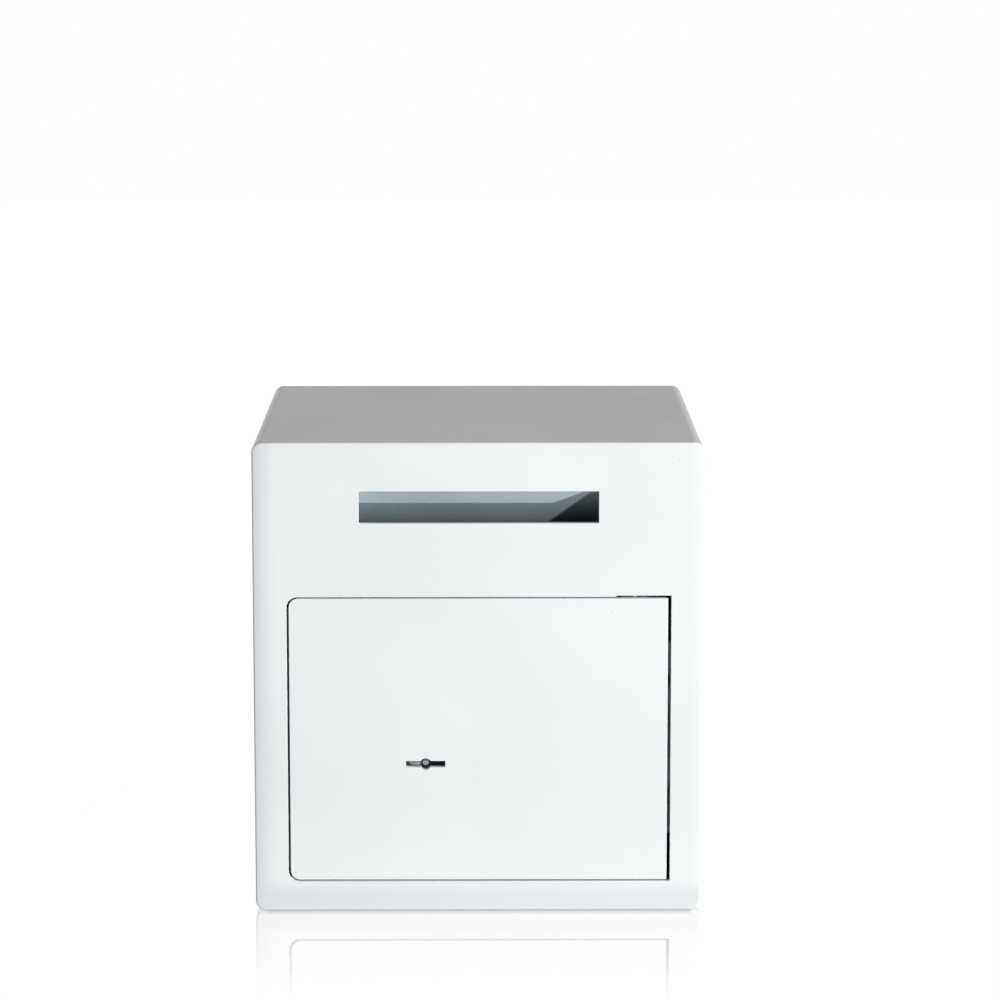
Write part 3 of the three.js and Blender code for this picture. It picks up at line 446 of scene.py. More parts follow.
def eased_rows(outline: Loop, near: float, far: float, radius: float, growth: int) -> list[Row]:
    """The rows of a wall between two faces, with a quarter round at both edges.

    Args:
        outline: the wall's outline between its rounds.
        near, far: the two faces' depths in Y.
        radius: the edge radius.
        growth: 1 for a hole, which is wider at the faces, and -1 for an outer rim.

    Returns:
        Outlines with their depths, from the near face to the far one.
    """
    reach = copysign(radius, far - near)
    start = []
    for step in range(EDGE_STEPS + 1):
        turn = step / EDGE_STEPS * QUARTER
        eased = offset(outline, growth * radius * (1 - sin(turn)))
        start.append((eased, near + reach * (1 - cos(turn))))
    return start + [(loop, near + far - y) for loop, y in reversed(start)]


def welded(mesh: Mesh) -> bmesh.types.BMesh:
    """Opens a mesh with its close corners merged."""
    shape = bmesh.new()
    shape.from_mesh(mesh)
    bmesh.ops.remove_doubles(shape, verts=shape.verts, dist=WELD)
    return shape


def shut(shape: bmesh.types.BMesh, mesh: Mesh | None = None) -> Mesh:
    """Writes an open shape into a mesh, or into a new one, and frees it."""
    mesh = mesh or bpy.data.meshes.new("shape")
    shape.to_mesh(mesh)
    shape.free()
    return mesh


def skin(shape: bmesh.types.BMesh, rows: list[list]) -> None:
    """Joins each closed row of corners to the next with faces. A row may be one point."""
    for near, far in zip(rows, rows[1:]):
        for index in range(max(len(near), len(far))):
            places = ((near, index), (near, index + 1), (far, index + 1), (far, index))
            shape.faces.new(list(dict.fromkeys(row[place % len(row)] for row, place in places)))


def plate_mesh(rim: list[Row], bores: list[list[Row]]) -> Mesh:
    """A closed plate that stands in the XZ plane.

    Args:
        rim: the outer rows, from one face to the other.
        bores: for each hole, its rows from the rim's last face to its first.

    Returns:
        The mesh, with faces outward.
    """
    shape = bmesh.new()
    walls = [[[shape.verts.new((x, y, z)) for x, z in loop] for loop, y in rows] for rows in (rim, *bores)]
    for rows in walls:
        skin(shape, rows)
    outer, inner = walls[0], walls[1:]
    for edges in ([outer[-1], *[rows[0] for rows in inner]], [outer[0], *[rows[-1] for rows in inner]]):
        ends = [end for edge in edges for end in edge]
        for triple in tessellate_polygon([[end.co for end in edge] for edge in edges]):
            shape.faces.new([ends[index] for index in triple])
    bmesh.ops.recalc_face_normals(shape, faces=shape.faces)
    return shut(shape)


def lathe_mesh(profile: Loop, steps: int) -> Mesh:
    """A closed turned solid about +Z, from each ring's radius and height, bottom centre first."""
    shape = bmesh.new()
    rings = []
    for radius, height in profile:
        flats = ring(radius, steps if radius else 1)
        rings.append([shape.verts.new((x, y, height)) for x, y in flats])
    skin(shape, rings)
    bmesh.ops.recalc_face_normals(shape, faces=shape.faces)
    return shut(shape)


def stand(name: str, data: bpy.types.ID) -> Piece:
    """Puts an object of a mesh, a light or a camera into the scene, at the origin."""
    item = bpy.data.objects.new(name, data)
    bpy.context.scene.collection.objects.link(item)
    return item


def bake(piece: Piece) -> Mesh:
    """Turns a piece and its modifiers into a plain mesh."""
    graph = bpy.context.evaluated_depsgraph_get()
    baked = bpy.data.meshes.new_from_object(piece.evaluated_get(graph), depsgraph=graph)
    piece.modifiers.clear()
    baked.name = piece.name
    piece.data = baked
    return baked


def round_edges(piece: Piece, radius: float, weighted: bool = False) -> None:
    """Adds a bevel that follows the angle between faces, or the edge weights."""
    bevel = piece.modifiers.new("round_edges", "BEVEL")
    bevel.width = radius
    bevel.segments = EDGE_STEPS
    bevel.limit_method = "WEIGHT" if weighted else "ANGLE"
    bevel.angle_limit = ROUNDED


@dataclass
class Workshop:
    """Puts pieces into the frame and reports them."""

    frame: dict
    count: int = 0

    def place(self, piece: Piece, body: Body, finish: Finish, nodes: Iterable[str]) -> None:
        """Evens a piece's shading, dresses it, and lets it ride and stand for its nodes.

        Args:
            piece: the object, with its modifiers.
            body: the body that carries it.
            finish: its finish, which knows its slot.
            nodes: the solids that it stands for.
        """
        smooth = bake(piece)
        smooth.polygons.foreach_set("use_smooth", [True] * len(smooth.polygons))
        smooth.set_sharp_from_angle(angle=CREASE)
        piece.modifiers.new("even_normals", "WEIGHTED_NORMAL").keep_sharp = True
        mesh = bake(piece)
        mesh.materials.clear()
        mesh.materials.append(finish.material())
        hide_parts(*nodes)
        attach(piece, body.value)
        self.count += 1
        LOG.info("%s: %d faces, %s, on the %s", piece.name, len(mesh.polygons), finish.name, body.value)

    def make(self, node: str, mesh: Mesh, body: Body, finish: Finish) -> None:
        """Places a new mesh as the piece that stands for one solid."""
        self.place(stand(f"{node}_fine", mesh), body, finish, [node])

    def refine(self, body: Body, *groups: tuple[float, Finish, Iterable[str]]) -> None:
        """Copies groups of solids, merges their faces, rounds their edges and places them."""
        for radius, finish, nodes in groups:
            for node in nodes:
                shape = welded(self.frame["nodes"][node].data)
                bmesh.ops.dissolve_limit(shape, angle_limit=FLAT, verts=shape.verts, edges=shape.edges)
                piece = stand(f"{node}_fine", shut(shape))
                round_edges(piece, radius)
                self.place(piece, body, finish, [node])

    def dress(self, finish: Finish, nodes: Iterable[str]) -> None:
        """Gives carried-over solids their material."""
        for node in nodes:
            mesh = self.frame["nodes"][node].data
            mesh.materials.clear()
            mesh.materials.append(finish.material())
            LOG.info("%s: kept as it is, %s", node, finish.name)


@dataclass
class NodeShape:
    """A Geometry Nodes tree with named inputs, run on an object and baked to a plain mesh."""

    name: str
    tree: bpy.types.GeometryNodeTree = field(init=False)
    entry: Node = field(init=False)

    def __post_init__(self) -> None:
        """Makes the empty tree with its geometry in and out."""
        self.tree = bpy.data.node_groups.new(self.name, "GeometryNodeTree")
        for way in ("INPUT", "OUTPUT"):
            self.tree.interface.new_socket("Geometry", in_out=way, socket_type="NodeSocketGeometry")
        self.entry = put(self.tree, "NodeGroupInput")

    def take(self, *names: str, kind: str = "Float") -> list[Source]:
        """Adds named inputs of a kind and returns their sockets inside the tree."""
        for name in names:
            self.tree.interface.new_socket(name, in_out="INPUT", socket_type=f"NodeSocket{kind}")
        return [self.entry.outputs[name] for name in names]

    def close(self, geometry: Source) -> None:
        """Ends the tree in Realize Instances and Set Material."""
        material, = self.take("Material", kind="Material")
        real = put(self.tree, "RealizeInstances", {"Geometry": geometry})
        dressed = put(self.tree, "SetMaterial", {"Geometry": real, "Material": material})
        put(self.tree, "NodeGroupOutput", {"Geometry": dressed})

    def run(self, name: str, starts: list[Triple], values: dict) -> Piece:
        """Runs the tree on points, with a value for each named input, and bakes a plain piece."""
        points = bpy.data.meshes.new(name)
        points.from_pydata(starts, [], [])
        piece = stand(name, points)
        modifier = piece.modifiers.new(self.name, "NODES")
        modifier.node_group = self.tree
        for item in self.tree.interface.items_tree:
            if item.in_out == "INPUT" and item.name in values:
                modifier[item.identifier] = values[item.name]
        bake(piece)
        return piece


def wrapped_shell() -> NodeShape:
    """The tree of the cabinet's wrapped sheet: a strip swept round a rectangle with filleted corners.

    Returns:
        A tree that starts from the points where anchor holes go through the floor.
    """
    shape = NodeShape("wrapped_shell")
    tree = shape.tree
    width, height, bend, wall, depth, bore, reach = shape.take(
        "Path width", "Path height", "Bend radius", "Wall", "Depth", "Bore radius", "Drill length")
    middle, = shape.take("Middle", kind="Vector")
    steps, flats = shape.take("Corner steps", "Bore flats", kind="Int")
    path, strip = (
        put(tree, "CurvePrimitiveQuadrilateral", {"Width": across, "Height": along})
        for across, along in ((width, height), (wall, depth))
    )
    filleted = put(tree, "FilletCurve", {"Curve": path, "Radius": bend, "Count": steps}, mode="POLY")
    sheet = put(tree, "CurveToMesh", {"Curve": filleted, "Profile Curve": strip})
    turned = {"Geometry": sheet, "Rotation": (QUARTER, 0, 0), "Translation": middle}
    upright = put(tree, "Transform", turned)
    drill = put(tree, "MeshCylinder", {"Vertices": flats, "Radius": bore, "Depth": reach})
    drills = put(tree, "InstanceOnPoints", {"Points": shape.entry, "Instance": drill})
    real = put(tree, "RealizeInstances", {"Geometry": drills})
    cut = {0: upright, 1: real}
    shape.close(put(tree, "MeshBoolean", cut, operation="DIFFERENCE", solver="EXACT"))
    return shape


def cross_screws() -> NodeShape:
    """The tree of a set of pan-head screws with a cross recess.

    Returns:
        A tree that starts from the points where the heads sit, and turns each recess its own way.
    """
    shape = NodeShape("cross_screws")
    tree = shape.tree
    radius, blank, shank, length = shape.take(
        "Head radius", "Blank length", "Shank radius", "Shank length")
    crown, top, below, along, across, facing = shape.take(
        "Crown size", "Head top", "Shank middle", "Recess along", "Recess across", "Facing", kind="Vector")
    seed, head_flats, rings, shank_flats = shape.take(
        "Seed", "Head flats", "Crown rings", "Shank flats", kind="Int")
    ball = put(tree, "MeshUVSphere", {"Segments": head_flats, "Rings": rings})
    dome = put(tree, "Transform", {"Geometry": ball, "Scale": crown})
    drum, stem = (
        put(tree, "MeshCylinder", {"Vertices": flats, "Radius": half, "Depth": deep})
        for flats, half, deep in ((head_flats, radius, blank), (shank_flats, shank, length))
    )
    bars = [put(tree, "MeshCube", {"Size": size}) for size in (along, across)]
    lifted, sunk, *raised = (
        put(tree, "Transform", {"Geometry": body, "Translation": place})
        for body, place in ((drum, top), (stem, below), *((bar, top) for bar in bars))
    )
    pan = put(tree, "MeshBoolean", {1: [dome, lifted]}, operation="INTERSECT", solver="EXACT")
    whole = put(tree, "MeshBoolean", {1: [pan, sunk]}, operation="UNION", solver="EXACT")
    slotted = put(tree, "MeshBoolean", {0: whole, 1: raised}, operation="DIFFERENCE", solver="EXACT")
    spread = {"Min": (0, 0, 0), "Max": (0, 0, QUARTER), "Seed": seed}
    turn = put(tree, "FunctionNodeRandomValue", spread, data_type="FLOAT_VECTOR")
    outward, own = (put(tree, "FunctionNodeEulerToRotation", {0: angles}) for angles in (facing, turn))
    seats = {"Points": shape.entry, "Instance": slotted, "Rotation": outward}
    set_out = put(tree, "InstanceOnPoints", seats)
    spun = {"Instances": set_out, "Rotation": own, "Local Space": True}
    shape.close(put(tree, "RotateInstances", spun))
    return shape


@dataclass
class ScrewSet:
    """A few equal pan-head screws on one body."""

    name: str
    nodes: tuple[str, ...]
    body: Body
    facing: Facing
    head: float
    rise: float
    shank: float
    recess: float
    sink: float
    seed: int
    crown_share: float = 1.12
    recess_span: float = 0.52
    head_flats: int = 40
    rings: int = 24
    shank_flats: int = 24

    def build(self, shop: Workshop, shape: NodeShape) -> None:
        """Sets the screws out where their solids sit and places them as one piece."""
        axis = 1 if self.facing is Facing.BACK else 0
        seats, lengths = [], []
        for low, high in map(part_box, self.nodes):
            seat = (low + high) / 2
            seat[axis] = high[axis] - self.rise
            seats.append(tuple(seat))
            lengths.append((high - low)[axis] - self.rise)
        length, radius, buried = lengths[0], self.head / 2, self.rise / 4
        span, deep = self.recess_span * self.head, 2 * self.sink
        piece = shape.run(self.name, seats, {
            "Head radius": radius, "Blank length": 2 * self.rise,
            "Crown size": (self.crown_share * radius, self.crown_share * radius, self.rise),
            "Head top": (0.0, 0.0, self.rise), "Shank radius": self.shank / 2, "Shank length": length,
            "Shank middle": (0.0, 0.0, buried - length / 2),
            "Recess along": (span, self.recess, deep), "Recess across": (self.recess, span, deep),
            "Facing": self.facing.value, "Seed": self.seed, "Material": BRIGHT_ZINC.material(),
            "Head flats": self.head_flats, "Crown rings": self.rings, "Shank flats": self.shank_flats,
        })
        shop.place(piece, self.body, BRIGHT_ZINC, self.nodes)


# Sub-assemblies


@dataclass
class Cabinet:
    """The fixed box: wrapped sheet, front plate, rear plate, door stops and hinge brackets."""

    width: float = 350 * MM
    depth: float = 345 * MM
    height: float = 372 * MM
    wall: float = 3 * MM
    corner_radius: float = 8 * MM
    corner_steps: int = 12
    shell_edge: float = 0.6 * MM
    rear_reach: float = 0.1 * MM
    rear_angle: float = radians(60)
    front_thickness: float = 5 * MM
    front_edge_radius: float = 1.5 * MM
    roll_side: float = 9 * MM
    roll_bottom: float = 20 * MM
    roll_top: float = 7 * MM
    roll_corner: float = 9 * MM
    roll_depth: float = 0.2 * MM
    rim_steps: int = 6
    slot_left: float = -92.45 * MM
    slot_right: float = 94.05 * MM
    slot_top: float = 333.6 * MM
    slot_height: float = 25 * MM
    slot_corner: float = 0.35 * MM
    slot_steps: int = 4
    doorway_left: float = -149 * MM
    doorway_right: float = 150.6 * MM
    doorway_bottom: float = 23.5 * MM
    doorway_top: float = 250.5 * MM
    doorway_corner: float = 8.5 * MM
    doorway_square: float = 0.4 * MM
    doorway_steps: int = 10
    relief_width: float = 43 * MM
    relief_rise: float = 1 * MM
    cut_edge: float = 0.25 * MM
    anchor_bore: float = 12 * MM
    anchor_spacing: float = 180 * MM
    floor_anchor_y: float = 22.5 * MM
    floor_anchor_flats: int = 48
    rear_anchor_z: float = 242 * MM
    rear_anchor_flats: int = 40
    stop_edge: float = 0.5 * MM
    bracket_edge: float = 0.6 * MM
    washer_edge: float = 0.3 * MM

    def build(self, shop: Workshop) -> None:
        """Builds the cabinet's pieces."""
        self.build_shell(shop)
        self.build_front(shop)
        self.build_rear(shop)
        shop.refine(
            Body.CABINET,
            # The stops are painted dark as shade, so that the gap round the door reads dark
            (self.stop_edge, PAINTED_SHADE_PRIMER, ("door_stop_left", "door_stop_top", "door_stop_bottom")),
            (self.bracket_edge, CHUTE_PRIMER, ("hinge_bracket_upper", "hinge_bracket_lower")),
            (self.washer_edge, ROLLED_BRASS, ("hinge_thrust_washer",)),
        )

    def build_shell(self, shop: Workshop) -> None:
        """Sweeps the wrapped sheet with its tree and softens its rear edge."""
        anchors = [(side * self.anchor_spacing / 2, self.floor_anchor_y, 0.0) for side in (-1, 1)]
        piece = wrapped_shell().run("body_shell_fine", anchors, {
            "Path width": self.width - self.wall, "Path height": self.height - self.wall,
            "Bend radius": self.corner_radius - self.wall / 2, "Wall": self.wall,
            "Depth": self.depth - self.front_thickness, "Bore radius": self.anchor_bore / 2,
            "Drill length": 4 * self.wall, "Middle": (0.0, self.front_thickness / 2, self.height / 2),
            "Corner steps": self.corner_steps, "Bore flats": self.floor_anchor_flats,
            "Material": WHITE_POWDER.material(),
        })
        self.weigh_rear(piece.data)
        round_edges(piece, self.shell_edge, weighted=True)
        shop.place(piece, Body.CABINET, WHITE_POWDER, ["body_shell"])

    def weigh_rear(self, mesh: Mesh) -> None:
        """Gives a full bevel weight to the sharp edges at the sheet's rear end."""
        shape = welded(mesh)
        weights = shape.edges.layers.float.new("bevel_weight_edge")
        rear = self.depth / 2 - self.rear_reach
        for edge in shape.edges:
            corner = len(edge.link_faces) == 2 and edge.calc_face_angle() > self.rear_angle
            edge[weights] = float(corner and all(end.co.y > rear for end in edge.verts))
        shut(shape, mesh)

    def outline(self, side: float, bottom: float, top: float, radius: float) -> Loop:
        """The front's outline with a corner radius, drawn in at its sides, bottom and top."""
        half = self.width / 2 - side
        return rounded_rectangle(-half, half, bottom, self.height - top, (radius,) * 4, self.corner_steps)

    def front_rim(self) -> list[Row]:
        """The front plate's rim: its rounded edge, then a border that rolls back very slightly."""
        face, edge = FRONT_Y, self.front_edge_radius
        rim = [(self.outline(0.0, 0.0, 0.0, self.corner_radius), face + self.front_thickness)]
        for step in range(self.rim_steps + 1):
            turn = step / self.rim_steps * QUARTER
            inward = edge * (1 - cos(turn))
            y = face + self.roll_depth + edge * (1 - sin(turn))
            rim.append((self.outline(inward, inward, inward, self.corner_radius - inward), y))
        rolls = (self.roll_side, self.roll_bottom, self.roll_top)
        for step in range(1, self.rim_steps + 1):
            share = step / self.rim_steps
            insets = [edge + share * (roll - edge) for roll in rolls]
            radius = (self.corner_radius - edge) * (1 - share) + self.roll_corner * share
            rim.append((self.outline(*insets, radius), face + self.roll_depth * (1 - share) ** 2))
        return rim

    def doorway(self) -> Loop:
        """The doorway's outline: two round corners on the left and a relief step at the hinge."""
        radii = (self.doorway_corner, self.doorway_square, self.doorway_square, self.doorway_corner)
        outline = rounded_rectangle(self.doorway_left, self.doorway_right, self.doorway_bottom,
                                    self.doorway_top, radii, self.doorway_steps)
        start, top = self.doorway_right - self.relief_width, self.doorway_top
        first, last = 2 * (self.doorway_steps + 1), 3 * (self.doorway_steps + 1)
        raised = [(x, z + self.relief_rise) for x, z in outline[first:last]]
        return [*outline[:first], *raised, (start, top + self.relief_rise), (start, top), *outline[last:]]

    def build_front(self, shop: Workshop) -> None:
        """Builds the front plate with its slot and doorway."""
        slot = rounded_rectangle(self.slot_left, self.slot_right, self.slot_top - self.slot_height,
                                 self.slot_top, (self.slot_corner,) * 4, self.slot_steps)
        back = FRONT_Y + self.front_thickness
        bores = [eased_rows(cut, FRONT_Y, back, self.cut_edge, 1) for cut in (slot, self.doorway())]
        shop.make("front_plate", plate_mesh(self.front_rim(), bores), Body.CABINET, FRONT_POWDER)

    def build_rear(self, shop: Workshop) -> None:
        """Builds the rear plate with its two anchor holes."""
        back = self.depth / 2
        inner = back - self.wall
        outline = self.outline(self.wall, self.wall, self.wall, self.corner_radius - self.wall)
        bores = []
        for side in (-self.anchor_spacing / 2, self.anchor_spacing / 2):
            circle = ring(self.anchor_bore / 2, self.rear_anchor_flats)
            hole = [(side + x, self.rear_anchor_z + z) for x, z in circle]
            bores.append(eased_rows(hole, inner, back, self.cut_edge, 1))
        rim = eased_rows(outline, back, inner, self.cut_edge, -1)
        shop.make("rear_plate", plate_mesh(rim, bores), Body.CABINET, WHITE_POWDER)


@dataclass
class DepositChute:
    """The sheets behind the slot that lead the deposit down and keep fingers out."""

    sheet_edge: float = 0.3 * MM

    def build(self, shop: Workshop) -> None:
        """Builds the chute's four sheets."""
        shop.refine(
            Body.CABINET,
            (self.sheet_edge, DEFLECTOR_PRIMER, ("deposit_deflector",)),
            (self.sheet_edge, CHUTE_PRIMER, ("chute_cheek_left", "chute_cheek_right")),
            # The chute floor is painted dark as shade, which also dims the light it throws into the slot
            (self.sheet_edge, PAINTED_SHADE_PRIMER, ("chute_floor",)),
        )


@dataclass
class Door:
    """The swinging door: its plate, hinge parts, fixed dog, bolt guide and cover."""

    thickness: float = 6 * MM
    left: float = -147.2 * MM
    right: float = 148 * MM
    bottom: float = 24.85 * MM
    top: float = 249.3 * MM
    round_corner: float = 7.2 * MM
    square_corner: float = 0.4 * MM
    corner_steps: int = 12
    edge: float = 0.3 * MM
    key_x: float = -41.1 * MM
    key_z: float = 117.7 * MM
    key_arm: float = 15.4 * MM
    key_arm_height: float = 4.9 * MM
    key_bore: float = 9.1 * MM
    key_edge: float = 0.25 * MM
    key_steps: int = 14
    hinge_edge: float = 0.6 * MM
    guide_edge: float = 0.5 * MM
    cover_edge: float = 0.7 * MM
    pin_edge: float = 0.5 * MM
    pillar_edge: float = 0.3 * MM

    def keyhole(self) -> Loop:
        """The keyhole's outline: a round middle with an arm to each side."""
        half, radius = self.key_arm_height / 2, self.key_bore / 2
        turn = asin(half / radius)
        points: Loop = []
        for side, middle in ((1, 0.0), (-1, pi)):
            tip = self.key_x + side * self.key_arm
            points += [(tip, self.key_z - side * half), (tip, self.key_z + side * half)]
            for step in range(self.key_steps + 1):
                angle = middle + turn + step / self.key_steps * (pi - 2 * turn)
                x, z = radius * cos(angle), radius * sin(angle)
                points.append((self.key_x + x, self.key_z + z))
        return points

    def build(self, shop: Workshop) -> None:
        """Builds the door's pieces."""
        radii = (self.round_corner, self.square_corner, self.square_corner, self.round_corner)
        outline = rounded_rectangle(self.left, self.right, self.bottom, self.top, radii, self.corner_steps)
        back = FRONT_Y + self.thickness
        rim = eased_rows(outline, back, FRONT_Y, self.edge, -1)
        bore = eased_rows(self.keyhole(), FRONT_Y, back, self.key_edge, 1)
        shop.make("door_plate", plate_mesh(rim, [bore]), Body.DOOR, DOOR_POWDER)
        shop.refine(
            Body.DOOR,
            (self.hinge_edge, TUMBLED_STEEL, ("hinge_block_upper", "hinge_block_lower")),
            (self.guide_edge, BRIGHT_ZINC, ("bolt_guide",)),
            (self.hinge_edge, HARD_STEEL, ("hinge_side_dog",)),
            (self.cover_edge, CHUTE_PRIMER, ("boltwork_cover",)),
            (self.pin_edge, BRIGHT_ZINC, ("hinge_pin_upper", "hinge_pin_lower")),
            (self.pillar_edge, BRIGHT_ZINC, four("cover_pillar")),
        )


@dataclass
class KeyLock:
    """The lever lock behind the keyhole."""

    edge: float = 0.3 * MM

    def build(self, shop: Workshop) -> None:
        """Refines the lock's plates and key post, and dresses the works, which keep their solids."""
        shop.refine(
            Body.DOOR,
            (self.edge, HARD_STEEL, ("hard_plate",)),
            (self.edge, BRIGHT_ZINC, ("lock_case", "lock_cover")),
            (self.edge, TUMBLED_STEEL, ("key_post",)),
        )
        shop.dress(ROLLED_STEEL, (*four("lever"), "lever_post_1", "lever_post_2"))
        shop.dress(BRIGHT_ZINC, ("rotor_plate",))
        shop.dress(ROLLED_BRASS, ("lock_bolt", "lever_springs"))
        shop.dress(PHOSPHATED_STEEL, ("lock_rotor", "lever_5"))
        shop.dress(TUMBLED_STEEL, ("drive_pin", "lock_bolt_stump"))


@dataclass
class Boltwork:
    """What slides with the lock bolt: the bar and the two live bolts."""

    bolt_radius: float = 8 * MM
    nose: float = 1.2 * MM
    shoulder_inset: float = 0.18 * MM
    shoulder: float = 1.02 * MM
    nose_end: float = 1.92 * MM
    root: float = 0.6 * MM
    flats: int = 64
    bar_edge: float = 0.4 * MM

    def build(self, shop: Workshop) -> None:
        """Turns the live bolts, with a rounded nose and a chamfered root, and refines the bar."""
        radius = self.bolt_radius
        for node in ("live_bolt_lower", "live_bolt_upper"):
            low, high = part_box(node)
            length, middle = high.x - low.x, (low + high) / 2
            mesh = lathe_mesh([
                (0.0, 0.0), (radius - self.nose, 0.0), (radius - self.shoulder_inset, self.shoulder),
                (radius, self.nose_end), (radius, length - self.root), (radius - self.root, length),
                (0.0, length),
            ], self.flats)
            shift = Matrix.Translation((low.x, middle.y, middle.z))
            mesh.transform(shift @ Euler(Facing.RIGHT.value).to_matrix().to_4x4())
            shop.make(node, mesh, Body.BOLTWORK, BRIGHT_ZINC)
        shop.refine(Body.BOLTWORK, (self.bar_edge, BRIGHT_ZINC, ("bolt_bar",)))


def build_screws(shop: Workshop) -> None:
    """Sets out the three kinds of screw."""
    shape = cross_screws()
    for screws in (
        ScrewSet("cover_screws", four("cover_screw"), Body.DOOR, Facing.BACK, head=9 * MM,
                 rise=2.6 * MM, shank=4.4 * MM, recess=1.1 * MM, sink=1.5 * MM, seed=3),
        ScrewSet("lock_screws", four("lock_screw"), Body.DOOR, Facing.BACK, head=7 * MM,
                 rise=2.2 * MM, shank=3.4 * MM, recess=0.9 * MM, sink=1.2 * MM, seed=7),
        ScrewSet("bolt_screws", ("bolt_screw_lower", "bolt_screw_upper"), Body.BOLTWORK, Facing.RIGHT,
                 head=10 * MM, rise=3 * MM, shank=5.4 * MM, recess=1.2 * MM, sink=1.7 * MM, seed=11),
    ):
        screws.build(shop, shape)


# The studio


@dataclass(frozen=True)
class StudioLight:
    """A square soft light, or a snooted spot when it has a cone, in degrees round its target.

    A spot reaches only the pieces that it's linked to, and a soft light all but those.
    """

    name: str
    azimuth: float
    elevation: float
    size: float
    power: float
    distance: float = 5.0
    target: Triple = (0.0, FRONT_Y, 322 * MM)
    cone: float = 0.0
    linked: tuple[str, ...] = ()

    def build(self) -> None:
        """Makes the light. Azimuth 0 is straight ahead of the front, and 90 on its right."""
        lamp = bpy.data.lights.new(self.name, "SPOT" if self.cone else "AREA")
        if self.cone:
            lamp.spot_size, lamp.shadow_soft_size = radians(self.cone), self.size
        else:
            lamp.size = self.size
        lamp.energy = self.power
        turn, rise = radians(self.azimuth), radians(self.elevation)
        way = Vector((sin(turn) * cos(rise), -cos(turn) * cos(rise), sin(rise)))
        holder = stand(self.name, lamp)
        holder.location = Vector(self.target) + way * self.distance
        holder.rotation_euler = (-way).to_track_quat("-Z", "Y").to_euler()
        holder.visible_camera = False
        if self.linked:
            chosen = bpy.data.collections.new(f"{self.name}_linked")
            holder.light_linking.receiver_collection = chosen
            for name in self.linked:
                chosen.objects.link(bpy.data.objects[name])
            for entry in chosen.collection_objects:
                entry.light_linking.link_state = "INCLUDE" if self.cone else "EXCLUDE"


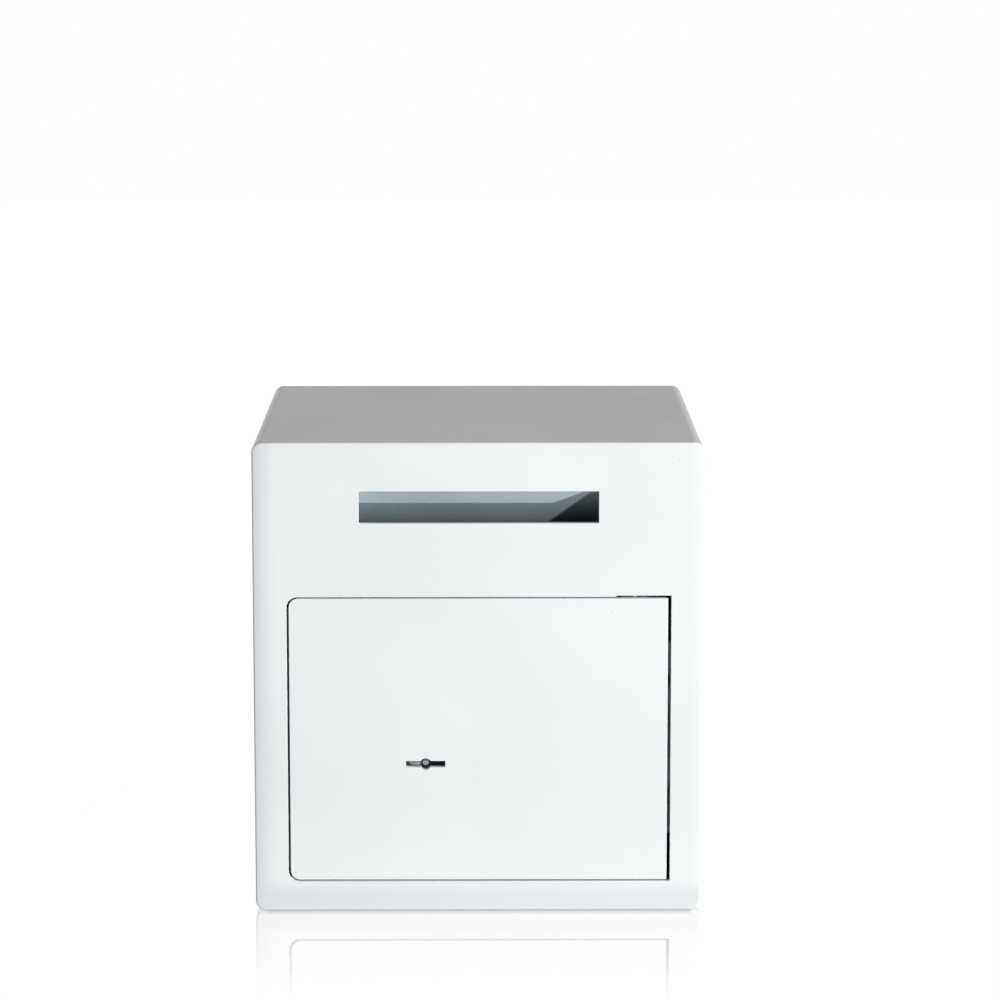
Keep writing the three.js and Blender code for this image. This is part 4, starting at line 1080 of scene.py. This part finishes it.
@dataclass
class Studio:
    """The camera, the lights, the white surroundings and the polished white floor."""

    camera_place: Triple = (1.4 * MM, -3078.5 * MM, 787.1 * MM)
    camera_yaw: float = 0.312
    camera_pitch: float = 8.998
    camera_roll: float = -0.016
    camera_clip: Point = (0.05, 60.0)
    lens: float = 136.82
    sensor: float = 36.0
    sky: float = 0.057
    zenith: float = 0.37
    sky_low: float = 0.1
    sky_high: float = 0.9
    overhead: float = 0.25
    mirror_low: float = 0.28
    mirror_high: float = 0.7
    front_share: float = 0.5
    front_full: float = -0.9
    front_none: float = -0.3
    floor_size: float = 14.0
    floor_drop: float = 0.05 * MM
    floor_glow: float = 0.985
    floor_bounce: float = 0.15
    floor_seen: float = 0.08
    floor_mirrored: float = 0.4
    mirror_roughness: float = 0.03
    mirror_near: float = 0.45
    mirror_reach: float = 300 * MM
    # A painted contact shadow on the floor: its darkest share of the glow, its reach, how far its edge is
    # drawn in at the sides, and how much faster it fades sideways
    contact_shade: float = 0.5
    contact_reach: float = 16 * MM
    contact_inset: float = 10 * MM
    contact_sideways: float = 3.0
    half_width: float = 175 * MM

    def build(self) -> None:
        """Builds the studio, with its lights placed by the shadows that show inside the slot."""
        self.build_camera()
        self.build_world()
        self.build_floor()
        left_arm = (-51.3 * MM, FRONT_Y, 117.7 * MM)
        for light in (
            StudioLight("key_light", azimuth=44, elevation=8, size=0.35, power=230, distance=6.0),
            StudioLight("floor_glow", azimuth=62, elevation=-18, size=0.27, power=194,
                        linked=("body_shell_fine",)),
            StudioLight("side_fill", azimuth=-86, elevation=-4, size=0.6, power=70),
            StudioLight("back_fill", azimuth=180, elevation=-12, size=1.0, power=160),
            StudioLight("keyhole_snoot", azimuth=1, elevation=13, size=0.001, power=9.5, distance=0.75,
                        target=left_arm, cone=1, linked=("lock_rotor", "lever_5")),
        ):
            light.build()

    def build_camera(self) -> None:
        """Makes the camera at the photograph's place."""
        data = bpy.data.cameras.new("camera")
        data.lens, data.sensor_width = self.lens, self.sensor
        data.clip_start, data.clip_end = self.camera_clip
        camera = stand("camera", data)
        camera.location = self.camera_place
        turn = Euler((radians(90 - self.camera_pitch), 0, radians(-self.camera_yaw)))
        lean = Euler((0, 0, radians(self.camera_roll)))
        camera.rotation_euler = (turn.to_matrix() @ lean.to_matrix()).to_euler()
        bpy.context.scene.camera = camera

    def mirrored_ray(self, tree: Tree, path: Node) -> Node:
        """A number that is 1 for rays that the safe has mirrored or let through."""
        rays = {0: path.outputs["Is Glossy Ray"], 1: path.outputs["Is Transmission Ray"]}
        return put(tree, "Math", rays, operation="MAXIMUM")

    def build_world(self) -> None:
        """Makes a world that shows white behind the safe and lights it softly."""
        world = bpy.data.worlds.new("studio")
        bpy.context.scene.world = world
        tree = clean_tree(world)
        path = put(tree, "LightPath")
        way = put(tree, "SeparateXYZ", {0: put(tree, "TexCoord").outputs["Generated"]})
        ahead, up = way.outputs[1], way.outputs[2]
        above, before, soft = (
            put(tree, "MapRange", dict(zip(FADE, limits)), interpolation_type="SMOOTHSTEP")
            for limits in (
                (up, self.mirror_low, self.mirror_high, 1.0, self.overhead),
                (ahead, self.front_full, self.front_none, self.front_share, 1.0),
                (up, self.sky_low, self.sky_high, self.sky, self.zenith),
            )
        )
        mirrored = put(tree, "Math", {0: above, 1: before}, operation="MULTIPLY")
        level = put(tree, "Mix", {0: self.mirrored_ray(tree, path), 2: soft, 3: mirrored})
        shown = put(tree, "Mix", {0: path.outputs["Is Camera Ray"], 2: level, 3: 1.0})
        put(tree, "OutputWorld", {0: put(tree, "Background", {"Color": WHITE, "Strength": shown})})

    def footprint_distance(self, tree: Tree, inset: float, sideways: float) -> Source:
        """The distance from the safe's drawn-in footprint, with metres to the side counted more."""
        nothing = (0.0, 0.0, 0.0)
        past = put(tree, "TexCoord").outputs["Object"]
        for operation, other in (
            ("ABSOLUTE", nothing), ("SUBTRACT", (self.half_width - inset, -FRONT_Y, 0.0)),
            ("MAXIMUM", nothing), ("MULTIPLY", (sideways, 1.0, 1.0)),
        ):
            past = put(tree, "VectorMath", {0: past, 1: other}, operation=operation)
        return put(tree, "VectorMath", {0: past}, operation="LENGTH").outputs["Value"]

    def build_floor(self) -> None:
        """Makes the polished white floor, whose mirror fades away from the safe, with a painted contact
        shadow in front of it.
        """
        half = self.floor_size / 2
        ends = [(x * half, y * half, 0.0) for x, y in ((-1, -1), (1, -1), (1, 1), (-1, 1))]
        mesh = bpy.data.meshes.new("floor")
        mesh.from_pydata(ends, [], [range(4)])
        floor = stand("floor", mesh)
        floor.location.z = -self.floor_drop
        material = bpy.data.materials.new("polished_white_floor")
        tree = clean_tree(material)
        path = put(tree, "LightPath")
        mirrored = self.mirrored_ray(tree, path)
        dimmed = put(tree, "Math", {0: mirrored, 1: self.floor_mirrored}, operation="MULTIPLY")
        rays = {0: path.outputs["Is Camera Ray"], 1: dimmed}
        seen = put(tree, "Math", rays, operation="MAXIMUM")
        away = self.footprint_distance(tree, 0.0, 1.0)
        ahead = self.footprint_distance(tree, self.contact_inset, self.contact_sideways)
        # The glow dims near the safe's front: a painted contact shadow
        level, near = (
            put(tree, "MapRange", dict(zip(FADE, limits)), interpolation_type="SMOOTHSTEP")
            for limits in (
                (ahead, 0.0, self.contact_reach, self.contact_shade * self.floor_glow, self.floor_glow),
                (away, 0.0, self.mirror_reach, self.mirror_near, 0.0),
            )
        )
        glow = put(tree, "Math", {0: seen, 1: level}, operation="MULTIPLY")
        lit, dim = (
            put(tree, "BsdfDiffuse", {"Color": (share, share, share, 1.0)})
            for share in (self.floor_bounce, self.floor_seen)
        )
        ground = put(tree, "MixShader", {0: seen, 1: lit, 2: dim})
        white = put(tree, "Emission", {"Color": WHITE, "Strength": glow})
        both = put(tree, "AddShader", {0: ground, 1: white})
        mirror = put(tree, "BsdfGlossy", {"Color": WHITE, "Roughness": self.mirror_roughness})
        polished = put(tree, "MixShader", {0: near, 1: both, 2: mirror})
        clear = put(tree, "BsdfTransparent")
        shadows = {0: path.outputs["Is Shadow Ray"], 1: polished, 2: clear}
        put(tree, "OutputMaterial", {0: put(tree, "MixShader", shadows)})
        mesh.materials.append(material)


def main() -> None:
    """Builds the safe's looks in order."""
    logging.basicConfig(level=logging.INFO, format="%(name)s: %(message)s")
    shop = Workshop(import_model())
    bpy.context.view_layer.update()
    bpy.context.scene.view_settings.view_transform = "Standard"
    for assembly in (Cabinet(), DepositChute(), Door(), KeyLock(), Boltwork()):
        assembly.build(shop)
    build_screws(shop)
    Studio().build()
    LOG.info("%d pieces placed", shop.count)


if __name__ == "__main__":
    main()
